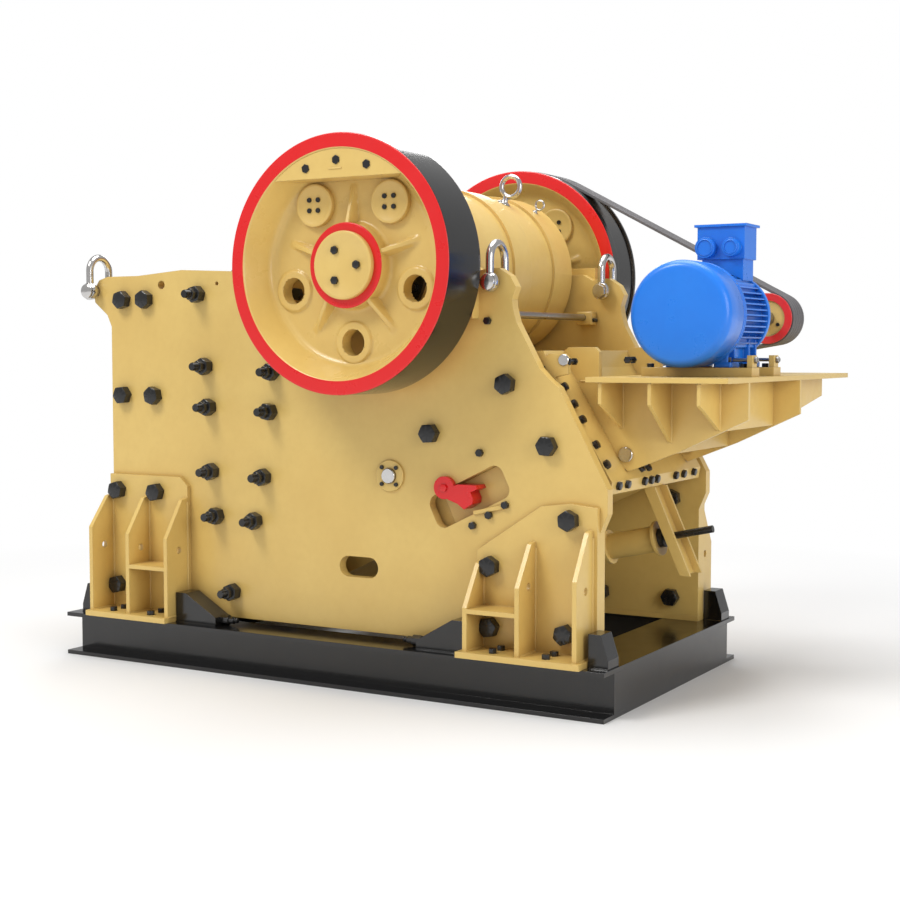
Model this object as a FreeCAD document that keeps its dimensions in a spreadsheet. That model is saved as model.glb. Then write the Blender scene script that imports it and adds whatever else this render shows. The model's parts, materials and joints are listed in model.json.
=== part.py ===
# Single-toggle jaw crusher on a beam skid, with its drive motor on a rear bracket.
# Millimetres. +Z up, +X towards the motor end, -Y the near side.
# Origin: middle of the skid's footprint, on the floor.
import FreeCAD, Part
import os
import re

import Sketcher
from FreeCAD import Placement, Rotation, Vector

doc = FreeCAD.newDocument("JawCrusher")
sheet = doc.addObject("Spreadsheet::Sheet", "size")

SIZES = [
    # skid of rolled beams
    ("skid_long", 3080, "length of the side beams"),
    ("beam_deep", 220, "height of the beams"),
    ("beam_out", 72, "middle of a side beam's web outside the side plate"),
    ("beam_wide", 232, "flange width of a side beam"),
    ("flange_thick", 20, "beam flange thickness"),
    ("web_thick", 14, "beam web thickness"),
    ("end_wide", 300, "flange width of the end beams"),
    ("anchor_hole", 33, "anchor hole diameter"),
    ("anchor_x", 1250, "anchor holes from the middle, along the skid"),
    ("anchor_in", 55, "anchor holes inside the side beams' webs"),
    # crusher side plates
    ("plate_in", 572, "inner face of a side plate"),
    ("plate_thick", 53, "side plate thickness"),
    ("plate_front", -1375, "front edge of the side plates"),
    ("plate_rear", 1432, "rear edge of the side plates at the feet"),
    ("slot_x", 110, "front end of the oval slot"),
    ("slot_z", 555, "height of the oval slot"),
    ("slot_long", 120, "distance between the slot's two rounds"),
    ("slot_r", 50, "half height of the oval slot"),
    ("sight_x", -1035, "sighting hole"),
    ("sight_z", 1925, "sighting hole"),
    ("sight_r", 22, "sighting hole radius"),
    ("oil_x", -675, "hole for the oil line"),
    ("oil_r", 10, "radius of the hole for the oil line"),
    ("lug_front_x", -1480, "hole of the front lifting lug"),
    ("lug_front_z", 1900, "hole of the front lifting lug"),
    ("lug_rear_x", 906, "hole of the rear lifting lug"),
    ("lug_rear_z", 1896, "hole of the rear lifting lug"),
    ("lug_hole_r", 27, "radius of the lifting holes"),
    # feet
    ("sole_thick", 27, "sole plate under a foot"),
    ("back_thick", 25, "foot plate against the side plate"),
    ("foot_rib", 22, "rib thickness of a foot"),
    ("foot_shelf", 20, "shelf thickness of a foot"),
    ("rib_hole_r", 18, "radius of the sling holes through the ribs of a foot"),
    ("front_foot_wide", 529, "sole length of a front foot"),
    ("rear_foot_wide", 610, "sole length of a rear foot"),
    ("stop_wide", 110, "width of a stop block"),
    ("stop_high", 150, "height of a stop block"),
    # front and rear frames
    ("wall_thick", 70, "thickness of the wall behind the fixed jaw"),
    ("shelf_high", 124, "height of the shelves ahead of that wall"),
    ("rib_wide", 40, "thickness of the upright ribs between the shelves"),
    ("seat_top_x", 1095, "top of the rear frame's slanted seat"),
    ("seat_top_z", 1500, "top of the rear frame's slanted seat"),
    ("seat_low_x", 1400, "bottom of the rear frame's slanted seat"),
    ("seat_low_z", 1000, "bottom of the rear frame's slanted seat"),
    # shaft and wheels
    ("shaft_x", 306, "shaft axis along the machine"),
    ("shaft_z", 1974, "shaft axis height"),
    ("shaft_r", 95, "journal radius"),
    ("throw", 16, "eccentricity of the shaft"),
    ("throw_angle", 26, "direction of the eccentric at rest, above +X"),
    ("crank_r", 150, "radius of the eccentric journal"),
    ("crank_in", 115, "end of the eccentric journal inside the barrel's end"),
    ("wheel_r", 585, "flywheel radius"),
    ("wheel_wide", 283, "flywheel rim width"),
    ("wheel_gap", 100, "gap between side plate and wheel rim"),
    ("rim_in", 518, "inner radius of the rim at its faces"),
    ("dish_r", 450, "inner radius of the rim at the web"),
    ("web_deep", 151, "web below the outer face"),
    ("web_plate", 48, "web thickness"),
    ("hub_r", 194, "hub radius"),
    ("hub_deep", 75, "hub face below the outer face"),
    ("hub_back", 14, "hub's inner end short of the rim's inner face"),
    ("wheel_holes", 348, "radius of the ring of holes"),
    ("hole_r", 61, "hole radius"),
    ("boss_r", 95, "boss radius round a hole"),
    ("boss_high", 12, "boss height"),
    ("rib_out", 360, "radius where the ribs run out"),
    ("rib_thick", 22, "rib thickness"),
    ("rib_drop", 14, "top of a rib below the hub face"),
    ("cover_r", 99, "radius of the covers over the closed holes"),
    ("cover_high", 27, "height of those covers"),
    ("hub_cover_r", 155, "hub cover radius"),
    ("hub_cover_high", 25, "hub cover thickness"),
    ("weight_chord", 386, "flat of the counterweight above the axis"),
    ("weight_inset", 6, "counterweight below the outer face"),
    ("groove_deep", 10, "depth of the belt seat in the driven wheel"),
    # bearings
    ("bearing_r", 290, "bearing housing radius"),
    ("bearing_proud", 87, "outer face of a housing outside the side plate"),
    ("bearing_inset", 5, "inner face of a housing outside the plate's inner face"),
    ("pad_half", 520, "half length of the housing's pad"),
    ("pad_below", 239, "underside of the housing's pad below the shaft"),
    ("pad_above", 46, "top of the housing's pad above the shaft"),
    ("pad_thick", 62, "pad thickness"),
    # jaws and pitman
    ("jaw_side", 47, "gap between a jaw and the side plate"),
    ("liner_thick", 88, "thickness of a jaw liner"),
    ("liner_skew", 11, "drop of the fixed liner's back against its face"),
    ("swing_skew", 22, "drop of the moving liner's back against its face"),
    ("cheek_thick", 40, "thickness of a cheek plate"),
    ("fixed_top_x", -860, "fixed jaw face at its top"),
    ("fixed_top_z", 1985, "fixed jaw face at its top"),
    ("fixed_low_x", -660, "fixed jaw face at its bottom"),
    ("fixed_low_z", 320, "fixed jaw face at its bottom"),
    ("swing_top_x", -190, "moving jaw face at its top"),
    ("swing_top_z", 1720, "moving jaw face at its top"),
    ("swing_low_x", -555, "moving jaw face at its bottom"),
    ("swing_low_z", 330, "moving jaw face at its bottom"),
    ("barrel_r", 396, "pitman barrel radius"),
    ("barrel_side", 27, "gap between the barrel's end and the side plate"),
    ("barrel_step", 14, "height of the barrel's raised bands"),
    ("band_end", 200, "width of the raised bands at the barrel's ends"),
    ("band_mid", 176, "width of the raised band in the middle"),
    ("turn_gap", 0.3, "gap between faces that turn on each other"),
    ("eye_big", 52, "ring radius of the large lifting eye"),
    ("eye_small", 24, "ring radius of the small lifting eye"),
    # toggle line: it rises towards the rear
    ("toggle_angle", 26, "slope of the toggle plate and its slide"),
    ("toggle_line", 488, "distance of the toggle line from the origin"),
    ("toggle_thick", 80, "toggle plate thickness"),
    ("toggle_side", 132, "gap between the toggle plate and the side plate"),
    ("toggle_from", -15, "front end of the toggle plate, along its line"),
    ("toggle_to", 860, "rear end of the toggle plate, along its line"),
    ("toggle_gap", 6, "clearance where the pitman swings off the toggle"),
    ("seat_long", 90, "length of the toggle seat block"),
    ("seat_side", 22, "gap between the seat block and the side plate"),
    ("slide_from", 420, "front end of the slide in the rear frame"),
    ("slide_to", 1320, "rear end of the slide"),
    ("slide_high", 160, "height of the slide"),
    ("slide_gap", 1, "clearance above and below what sits in the slide"),
    ("slide_side", 6, "gap between the wedges and the side plate"),
    ("window_from", 890, "front end of the window in the side plates"),
    ("window_to", 1310, "rear end of that window"),
    ("window_r", 45, "rounding of the window's corners"),
    ("cap_x", 656, "middle of the adjuster's cap"),
    ("cap_z", 960, "middle of the adjuster's cap"),
    ("adjuster_r", 53, "radius of the adjuster's cap"),
    ("cap_proud", 26, "adjuster's cap proud of the side plate"),
    # tension rod
    ("rod_angle", 12.7, "slope of the tension rod"),
    ("rod_x", 1458, "point on the rod's axis"),
    ("rod_z", 708, "point on the rod's axis"),
    ("rod_r", 17, "tension rod radius"),
    ("rod_front", 1650, "rod length ahead of that point"),
    ("rod_rear", 268, "rod length behind that point"),
    ("rod_nut_r", 46, "radius of the rod's nut"),
    ("rod_nut", 26, "thickness of the rod's nut"),
    ("tube_long", 272, "length of the spring tube"),
    ("tube_r", 62, "radius of the spring tube"),
    ("tube_flange_r", 82, "radius of its flanges"),
    ("tube_flange", 16, "thickness of its flanges"),
    ("channel_run", 186, "reach of the channel's foot behind its top"),
    ("channel_drop", 407, "height of the channel that holds the rod"),
    ("channel_half", 78, "half width of that channel"),
    ("channel_thick", 14, "thickness of that channel"),
    # spreader rod
    ("spreader_x", 812, "spreader rod along the machine"),
    ("spreader_z", 1760, "spreader rod height"),
    ("spreader_r", 17, "spreader rod radius"),
    ("spreader_end", 62, "length of its end blocks"),
    # drive
    ("motor_x", 1700, "motor axis"),
    ("motor_z", 1751, "motor axis height"),
    ("motor_r", 195, "radius over the cooling fins"),
    ("motor_front", -175, "fan end of the finned body"),
    ("motor_rear", 250, "drive end of the finned body"),
    ("motor_foot", 158, "half width over the motor's feet"),
    ("fan_r", 236, "fan cover radius"),
    ("fan_front", -410, "face of the fan cover"),
    ("fan_round", 16, "rounding of the fan cover's edge"),
    ("shield_r", 180, "end shield radius"),
    ("shield_thick", 36, "end shield thickness"),
    ("cap_r", 105, "bearing cap radius"),
    ("cap_long", 45, "bearing cap length"),
    ("motor_shaft_r", 35, "motor shaft radius"),
    ("shaft_short", 12, "motor shaft's end inside the pulley's face"),
    ("box_above", 66, "terminal box above the motor's fins"),
    ("box_high", 150, "terminal box height"),
    ("lid_thick", 12, "terminal box lid"),
    ("lid_over", 12, "overhang of that lid"),
    ("pulley_r", 120, "belt seat radius of the motor pulley"),
    ("pulley_lip", 128, "radius of the pulley's two lips"),
    ("lip_wide", 8, "width of a lip"),
    ("belt_inset", 32, "belt's edge inside the wheel's face"),
    ("belt_wide", 176, "width of the belts together"),
    ("belt_side", 10, "pulley and belt seat wider than the belt, each side"),
    ("belt_thick", 14, "belt thickness"),
    ("belt_gap", 0.5, "running gap under the belt"),
    # motor bracket
    ("flange_plate", 50, "thickness of the bracket's slanted flange"),
    ("flange_side", 32, "gap between the flange and the side plate"),
    ("deck_z", 1451, "underside of the motor deck"),
    ("deck_thick", 23, "deck thickness"),
    ("deck_end", 2000, "rear edge of the deck"),
    ("deck_front", 1345, "front edge of the deck beside the frame"),
    ("deck_near", -600, "near edge of the deck"),
    ("deck_far", 1200, "far edge of the deck"),
    ("gusset_near", -330, "middle of the near gusset"),
    ("gusset_far", 400, "middle of the far gusset"),
    ("gusset_thick", 20, "gusset thickness"),
    ("web_rib", 16, "thickness of the ribs and diaphragms under the deck"),
    ("rib_root", 95, "outer height of the ribs under the deck"),
    ("pin_r", 35, "pins through the gussets"),
    ("lug_thick", 30, "thickness of the lugs above the flange"),
    ("rail_high", 40, "height of the motor rails"),
    ("rail_half", 50, "half width of a motor rail"),
]

# lengths that follow from those sizes
MADE = {
    "skin": "size.plate_in + size.plate_thick",
    "plate_low": "size.beam_deep + size.sole_thick",
    "plate_top": "size.shaft_z + 1",
    "beam_y": "made.skin + size.beam_out",
    "anchor_y": "made.beam_y - size.anchor_in",
    "jaw_half": "size.plate_in - size.jaw_side",
    "cheek_in": "size.plate_in - size.cheek_thick",
    "barrel_half": "size.plate_in - size.barrel_side",
    "crank_half": "made.barrel_half - size.crank_in",
    "bearing_in": "size.plate_in + size.bearing_inset",
    "bearing_out": "made.skin + size.bearing_proud",
    "wheel_face": "made.skin + size.wheel_gap + size.wheel_wide",
    "belt_to": "made.wheel_face - size.belt_inset",
    "belt_from": "made.belt_to - size.belt_wide",
    "pulley_from": "made.belt_from - size.belt_side",
    "pulley_to": "made.belt_to + size.belt_side",
    "toggle_half": "size.plate_in - size.toggle_side",
    "throw_x": "size.shaft_x + size.throw * cos(size.throw_angle * 1deg)",
    "throw_z": "size.shaft_z + size.throw * sin(size.throw_angle * 1deg)",
    "flange_half": "size.plate_in - size.flange_side",
    "deck_top": "size.deck_z + size.deck_thick",
    "rail_top": "made.deck_top + size.rail_high",
    "rise": "size.web_deep - size.hub_deep - size.rib_drop",
}
for row, (alias, value, note) in enumerate(SIZES, start=1):
    sheet.set(f"A{row}", alias)
    sheet.set(f"B{row}", str(value))
    sheet.setAlias(f"B{row}", alias)
    sheet.set(f"C{row}", note)
doc.recompute()

nodes = []


# ---------------------------------------------------------------- helpers
def full(text):
    """Expression with each made.NAME written out in the sheet's own sizes."""
    text = str(text)
    while "made." in text:
        text = re.sub(r"made\.(\w+)", lambda found: f"({MADE[found.group(1)]})", text)
    return text


def number(text):
    """Value of an expression now, for a sketch's first guess."""
    return float(sheet.evalExpression(full(text)))


def bind(obj, prop, text):
    obj.setExpression(prop, full(text))


def at(obj, x, y, z):
    """Bind an object's base point to three expressions."""
    for axis, text in zip("xyz", (x, y, z)):
        bind(obj, f"Placement.Base.{axis}", text)
    return obj


def box(name, x, y, z, long, wide, high, turn=0):
    """Box from its lowest corner, turned about Y by an angle in degrees."""
    obj = doc.addObject("Part::Box", name)
    obj.Placement = Placement(Vector(), Rotation(Vector(0, 1, 0), 0))
    for prop, text in (("Length", long), ("Width", wide), ("Height", high)):
        bind(obj, prop, text)
    if turn:
        obj.Placement.Rotation = Rotation(Vector(0, 1, 0), 1)
        bind(obj, "Placement.Rotation.Angle", turn)
    return at(obj, x, y, z)


def span(name, x, y, z):
    """Box from (low, high) pairs of expressions."""
    sizes = [f"({high}) - ({low})" for low, high in (x, y, z)]
    return box(name, x[0], y[0], z[0], *sizes)


AXIS = {"x": Rotation(Vector(0, 1, 0), 90), "y": Rotation(Vector(1, 0, 0), -90), "z": Rotation()}


def rod(name, axis, x, y, z, radius, length):
    """Cylinder that starts at a point and runs along +X, +Y or +Z."""
    obj = doc.addObject("Part::Cylinder", name)
    obj.Placement = Placement(Vector(), AXIS[axis])
    bind(obj, "Radius", radius)
    bind(obj, "Height", length)
    return at(obj, x, y, z)


def sketch(body, name, plane, points):
    """Closed outline of straight edges whose corners are bound to expressions."""
    outline = body.newObject("Sketcher::SketchObject", name)
    origin = [o for o in body.Origin.OriginFeatures if o.Role == plane][0]
    outline.AttachmentSupport = [(origin, "")]
    outline.MapMode = "FlatFace"
    spots = [Vector(number(a), number(b), 0) for a, b in points]
    count = len(spots)
    outline.addGeometry([Part.LineSegment(spots[i], spots[(i + 1) % count]) for i in range(count)])
    for i in range(count):
        outline.addConstraint(Sketcher.Constraint("Coincident", i, 2, (i + 1) % count, 1))
    for i, pair in enumerate(points):
        for kind, text in zip(("DistanceX", "DistanceY"), pair):
            guess = number(text)
            key = outline.addConstraint(Sketcher.Constraint(kind, -1, 1, i, 1, guess))
            if "size." in full(text):
                bind(outline, f"Constraints[{key}]", text)
    return outline


def plate(name, points, low, thick):
    """Flat piece with an XZ outline, from y = low to y = low + thick."""
    body = doc.addObject("PartDesign::Body", name)
    outline = sketch(body, name + "_outline", "XZ_Plane", points)
    bind(outline, "AttachmentOffset.Base.z", f"-({low})")
    pad = body.newObject("PartDesign::Pad", name + "_pad")
    pad.Profile = outline
    pad.Reversed = True
    bind(pad, "Length", thick)
    return body


def slab(name, points, low, thick):
    """Flat piece with a YZ outline, from x = low to x = low + thick."""
    body = doc.addObject("PartDesign::Body", name)
    outline = sketch(body, name + "_outline", "YZ_Plane", points)
    bind(outline, "AttachmentOffset.Base.z", low)
    pad = body.newObject("PartDesign::Pad", name + "_pad")
    pad.Profile = outline
    bind(pad, "Length", thick)
    return body


def turned(name, points, x, y, z):
    """Solid of revolution about Y from (radius, y) points, moved to a point."""
    body = doc.addObject("PartDesign::Body", name)
    outline = sketch(body, name + "_outline", "XY_Plane", points)
    spin = body.newObject("PartDesign::Revolution", name + "_spin")
    spin.Profile = outline
    spin.ReferenceAxis = (outline, ["V_Axis"])
    spin.Angle = 360
    return at(body, x, y, z)


def fuse(name, *shapes):
    obj = doc.addObject("Part::MultiFuse", name)
    obj.Shapes = list(shapes)
    return obj


def cut(name, base, *tools):
    obj = doc.addObject("Part::Cut", name)
    obj.Base = base
    obj.Tool = tools[0] if len(tools) == 1 else fuse(name + "_tools", *tools)
    return obj


def common(name, *shapes):
    obj = doc.addObject("Part::MultiCommon", name)
    obj.Shapes = list(shapes)
    return obj


def group(name, *shapes):
    obj = doc.addObject("Part::Compound", name)
    obj.Links = list(shapes)
    return obj


def mirrored(name, source):
    """The same piece on the other side of the machine."""
    obj = doc.addObject("Part::Mirroring", name)
    obj.Source = source
    obj.Normal = Vector(0, 1, 0)
    return obj


def node(label, obj):
    obj.Label = label
    nodes.append(obj)
    return obj


def along(u, n):
    """Point (x, z) at u along the toggle line's slope and n square to it."""
    slope = "size.toggle_angle"
    x = f"(({u}) * cos({slope} * 1deg) - ({n}) * sin({slope} * 1deg))"
    z = f"(({u}) * sin({slope} * 1deg) + ({n}) * cos({slope} * 1deg))"
    return x, z


def sloped(name, u, n, y):
    """Box in the toggle line's own directions, from (low, high) pairs."""
    x, z = along(u[0], n[0])
    sizes = [f"({high}) - ({low})" for low, high in (u, y, n)]
    return box(name, x, y[0], z, *sizes, turn="-size.toggle_angle")


# ---------------------------------------------------------------- skid
def base():
    half = "size.skid_long / 2"
    deep = "size.beam_deep"
    inner = "(made.beam_y - size.beam_wide / 2)"
    outer = "(made.beam_y + size.beam_wide / 2)"
    web = ("(made.beam_y - size.web_thick / 2)", "(made.beam_y + size.web_thick / 2)")
    run = (f"-{half}", half)
    low = span("beam_low", run, (inner, outer), (0, "size.flange_thick"))
    top = span("beam_top", run, (inner, outer), (f"{deep} - size.flange_thick", deep))
    mid = span("beam_web", run, web, (0, deep))
    holes = [
        rod(f"anchor_{side}", "z", f"{sign}size.anchor_x", "made.anchor_y", -1, "size.anchor_hole / 2",
            "size.flange_thick + 2")
        for side, sign in (("front", "-"), ("rear", ""))
    ]
    far = node("base_side_beam_far", cut("side_beam", fuse("side_beam_raw", low, top, mid), *holes))
    node("base_side_beam_near", mirrored("side_beam_near", far))

    for side, sign in (("front", -1), ("rear", 1)):
        edge = f"{sign} * size.skid_long / 2"
        inside = f"{sign} * (size.skid_long / 2 - size.end_wide)"
        face = f"{sign} * (size.skid_long / 2 - size.web_thick)"
        pair = (inside, edge) if sign > 0 else (edge, inside)
        skin = (face, edge) if sign > 0 else (edge, face)
        gap = (f"-{inner}", inner)
        wide = (f"-{web[0]}", web[0])
        low = span(f"end_low_{side}", pair, gap, (0, "size.flange_thick"))
        top = span(f"end_top_{side}", pair, gap, (f"{deep} - size.flange_thick", deep))
        wall = span(f"end_web_{side}", skin, wide, ("size.flange_thick", f"{deep} - size.flange_thick"))
        node(f"base_end_beam_{side}", fuse(f"end_beam_{side}", low, top, wall))


# ---------------------------------------------------------------- side plates
def side_plates():
    low, front, top, rear = "made.plate_low", "size.plate_front", "made.plate_top", "size.plate_rear"
    outline = [
        (front, low), (front, 1715), (f"{front} - 28", 1775), (f"{front} - 112", 1842),
        (f"{front} - 122", 1905), (f"{front} - 82", 1958), (f"{front} - 25", top), (-1190, top),
        (-900, f"{top} + 23"), (-560, f"{top} + 8"), (780, f"{top} + 8"), (835, 1952), (872, 1960),
        (930, 1960), (985, 1925), (1014, 1875), (996, 1818), (1000, 1780), (1018, 1716), (1132, 1512),
        (1180, 1464), (1228, 1428), (f"{rear} + 36", 984), (f"{rear} + 36", 876), (rear, 792), (rear, low),
    ]
    raw = plate("plate_raw", outline, "size.plate_in", "size.plate_thick")
    through = ("size.plate_in - 1", "made.skin + 1")
    deep = "size.plate_thick + 2"
    shaft = rod("plate_bearing", "y", "size.shaft_x", through[0], "size.shaft_z",
                "size.bearing_r + size.turn_gap", deep)
    half = "size.slide_high / 2"
    low_n, high_n, bend = f"size.toggle_line - {half}", f"size.toggle_line + {half}", "size.window_r"
    window = [
        sloped("window_long", ("size.window_from", "size.window_to"),
               (f"{low_n} + {bend}", f"{high_n} - {bend}"), through),
        sloped("window_high", (f"size.window_from + {bend}", f"size.window_to - {bend}"),
               (low_n, high_n), through),
    ]
    for i, (u, n) in enumerate(((f"size.window_from + {bend}", f"{low_n} + {bend}"),
                                (f"size.window_to - {bend}", f"{low_n} + {bend}"),
                                (f"size.window_to - {bend}", f"{high_n} - {bend}"),
                                (f"size.window_from + {bend}", f"{high_n} - {bend}"))):
        x, z = along(u, n)
        window.append(rod(f"window_round_{i}", "y", x, through[0], z, bend, deep))
    slot_end = "size.slot_x + size.slot_long"
    holes = [
        rod("slot_front", "y", "size.slot_x", through[0], "size.slot_z", "size.slot_r", deep),
        rod("slot_rear", "y", slot_end, through[0], "size.slot_z", "size.slot_r", deep),
        span("slot_mid", ("size.slot_x", slot_end), through,
             ("size.slot_z - size.slot_r", "size.slot_z + size.slot_r")),
        rod("sight_hole", "y", "size.sight_x", through[0], "size.sight_z", "size.sight_r", deep),
        rod("oil_hole", "y", "size.oil_x", through[0], "size.sight_z", "size.oil_r", deep),
        rod("lug_front", "y", "size.lug_front_x", through[0], "size.lug_front_z", "size.lug_hole_r", deep),
        rod("lug_rear", "y", "size.lug_rear_x", through[0], "size.lug_rear_z", "size.lug_hole_r", deep),
    ]
    far = cut("plate_far", raw, shaft, *window, *holes)
    node("side_plate_far", far)
    node("side_plate_near", mirrored("plate_near", far))


# ---------------------------------------------------------------- frames between the plates
def front_frame():
    """Slanted wall behind the fixed jaw, with shelves ahead of it and upright ribs between them."""
    inside = ("-size.plate_in", "size.plate_in")
    front = "(size.plate_front + 12)"
    back = "size.liner_thick"
    ahead = "(size.liner_thick + size.wall_thick)"
    top_z, low_z = "(size.fixed_top_z - size.liner_skew)", "(size.fixed_low_z - size.liner_skew)"

    def wall_x(z):
        lean = f"(size.fixed_low_x - size.fixed_top_x) / ({top_z} - {low_z})"
        return f"(size.fixed_top_x - {ahead} + ({top_z} - ({z})) * {lean})"

    wall = [
        (f"size.fixed_top_x - {back}", top_z), (f"size.fixed_low_x - {back}", low_z),
        (wall_x(low_z), low_z), (wall_x(top_z), top_z),
    ]
    parts = [plate("front_wall", wall, "-size.plate_in", "2 * size.plate_in")]
    edges = []
    for i, z in enumerate((380, 862, 1358, 1852)):
        low, high = f"({z} - size.shelf_high / 2)", f"({z} + size.shelf_high / 2)"
        shelf = [(front, low), (wall_x(low), low), (wall_x(high), high), (front, high)]
        parts.append(plate(f"front_shelf_{i}", shelf, "-size.plate_in", "2 * size.plate_in"))
        edges.append((low, high))
    node("front_frame", fuse("front_fused", *parts))

    ribs = []
    for i in range(3):
        low, high = edges[i][1], edges[i + 1][0]
        outline = [(f"{front} + 28", low), (wall_x(low), low), (wall_x(high), high), (f"{front} + 28", high)]
        for k, y in enumerate((-290, 0, 290)):
            ribs.append(plate(f"front_rib_{i}_{k}", outline, f"{y} - size.rib_wide / 2", "size.rib_wide"))
    node("front_frame_ribs", group("front_ribs", *ribs))


def rear_frame():
    top, low = ("size.seat_top_x", "size.seat_top_z"), ("size.seat_low_x", "size.seat_low_z")
    outline = [
        (480, 900), (530, 1250), (900, top[1]), top, low, (low[0], f"{low[1]} - 45"), (1180, 900),
        (620, 640), (560, 690),
    ]
    raw = plate("rear_raw", outline, "-size.plate_in", "2 * size.plate_in")
    half = "size.slide_high / 2"
    slide = sloped("rear_slide", ("size.slide_from", "size.slide_to"),
                   (f"size.toggle_line - {half}", f"size.toggle_line + {half}"),
                   ("-size.plate_in - 1", "size.plate_in + 1"))
    node("rear_frame", cut("rear_fused", raw, slide))


# ---------------------------------------------------------------- feet and stops
def feet():
    out = "(made.skin + size.back_thick)"
    edge = "(made.beam_y + size.beam_wide / 2)"
    low = "made.plate_low"
    front, rear = "size.plate_front", "size.plate_rear"
    front_end = f"({front} - 12 + size.front_foot_wide)"
    rear_start = f"({rear} - size.rear_foot_wide)"
    ends = {
        "front": dict(
            sole=(f"{front} - 12", front_end),
            back=[(front, low), (front_end, low), (front_end, 900),
                  (f"{front_end} - 47", 945), (front, 945)],
            ribs=((f"{front} - 3", 680, 840), (-1131, 655, 840),
                  (f"{front_end} - size.foot_rib", 645, 840)),
            holes=(front, front_end, 580), shelf=(-1109, f"{front_end} - size.foot_rib", 500)),
        "rear": dict(
            sole=(rear_start, rear),
            back=[(f"{rear_start} + 10", low), (rear, low), (rear, 905), (1300, 918), (1156, 900),
                  (f"{rear_start} + 10", 684)],
            ribs=((f"{rear_start} + 24", 444, 640), (1109, 551, 742), (f"{rear} - 44", 600, 808)),
            holes=(1000, rear, 548), shelf=(f"{rear_start} + 46", 1109, 438)),
    }
    for end, foot in ends.items():
        parts = [
            span(f"foot_{end}_sole", foot["sole"], ("size.plate_in", f"{edge} + 25"),
                 ("size.beam_deep", low)),
            plate(f"foot_{end}_back", foot["back"], "made.skin", "size.back_thick"),
        ]
        for i, (x, knee, rise) in enumerate(foot["ribs"]):
            outline = [(out, low), (edge, low), (edge, knee), (f"{out} + 42", rise - 8), (out, rise)]
            parts.append(slab(f"foot_{end}_rib_{i}", outline, x, "size.foot_rib"))
        start, stop, z = foot["shelf"]
        parts.append(span(f"foot_{end}_shelf", (start, stop), (out, edge), (f"{z} - size.foot_shelf", z)))
        x, stop, z = foot["holes"]
        way = rod(f"foot_{end}_way", "x", f"{x} - 10", "made.skin + 96", z, "size.rib_hole_r",
                  f"{stop} - ({x}) + 20")
        far = node(f"foot_{end}_far", cut(f"foot_{end}_cut", fuse(f"foot_{end}_fused", *parts), way))
        node(f"foot_{end}_near", mirrored(f"foot_{end}_other", far))


def stops():
    """Blocks welded on the side beams at both ends of each foot, sloping away from it."""
    low = "size.beam_deep"
    front, rear = "size.plate_front", "size.plate_rear"
    blocks = []
    for key, x, reach in (
            ("a", f"{front} - 17", -95), ("b", f"{front} - 7 + size.front_foot_wide", 250),
            ("c", f"{rear} - size.rear_foot_wide - 5", -250), ("d", f"{rear} + 5", 95)):
        crest = 60 if reach > 0 else -60
        outline = [
            (x, low), (x, f"{low} + size.stop_high"), (f"{x} + {crest}", f"{low} + size.stop_high"),
            (f"{x} + {reach}", f"{low} + 40"), (f"{x} + {reach}", low),
        ]
        blocks.append(plate(f"stop_{key}", outline, "made.beam_y - size.stop_wide / 2", "size.stop_wide"))
    far = node("stop_blocks_far", group("stops_far", *blocks))
    node("stop_blocks_near", mirrored("stops_near", far))


# ---------------------------------------------------------------- jaws
def jaws():
    thick = "size.liner_thick"
    wide = "2 * made.jaw_half"
    fixed = [
        ("size.fixed_top_x", "size.fixed_top_z"), ("size.fixed_low_x", "size.fixed_low_z"),
        (f"size.fixed_low_x - {thick}", "size.fixed_low_z - size.liner_skew"),
        (f"size.fixed_top_x - {thick}", "size.fixed_top_z - size.liner_skew"),
    ]
    node("fixed_jaw_liner", plate("fixed_liner", fixed, "-made.jaw_half", wide))
    swing = [
        ("size.swing_top_x", "size.swing_top_z"), ("size.swing_low_x", "size.swing_low_z"),
        (f"size.swing_low_x + {thick}", "size.swing_low_z - size.swing_skew"),
        (f"size.swing_top_x + {thick}", "size.swing_top_z - size.swing_skew"),
    ]
    node("moving_jaw_liner", plate("swing_liner", swing, "-made.jaw_half", wide))
    cheek = [(-842, 1890), (-560, 1890), (-262, 1600), (-335, 960), (-520, 360), (-650, 360)]
    far = node("cheek_plate_far", plate("cheek_far", cheek, "made.cheek_in", "size.cheek_thick"))
    node("cheek_plate_near", mirrored("cheek_near", far))


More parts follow.
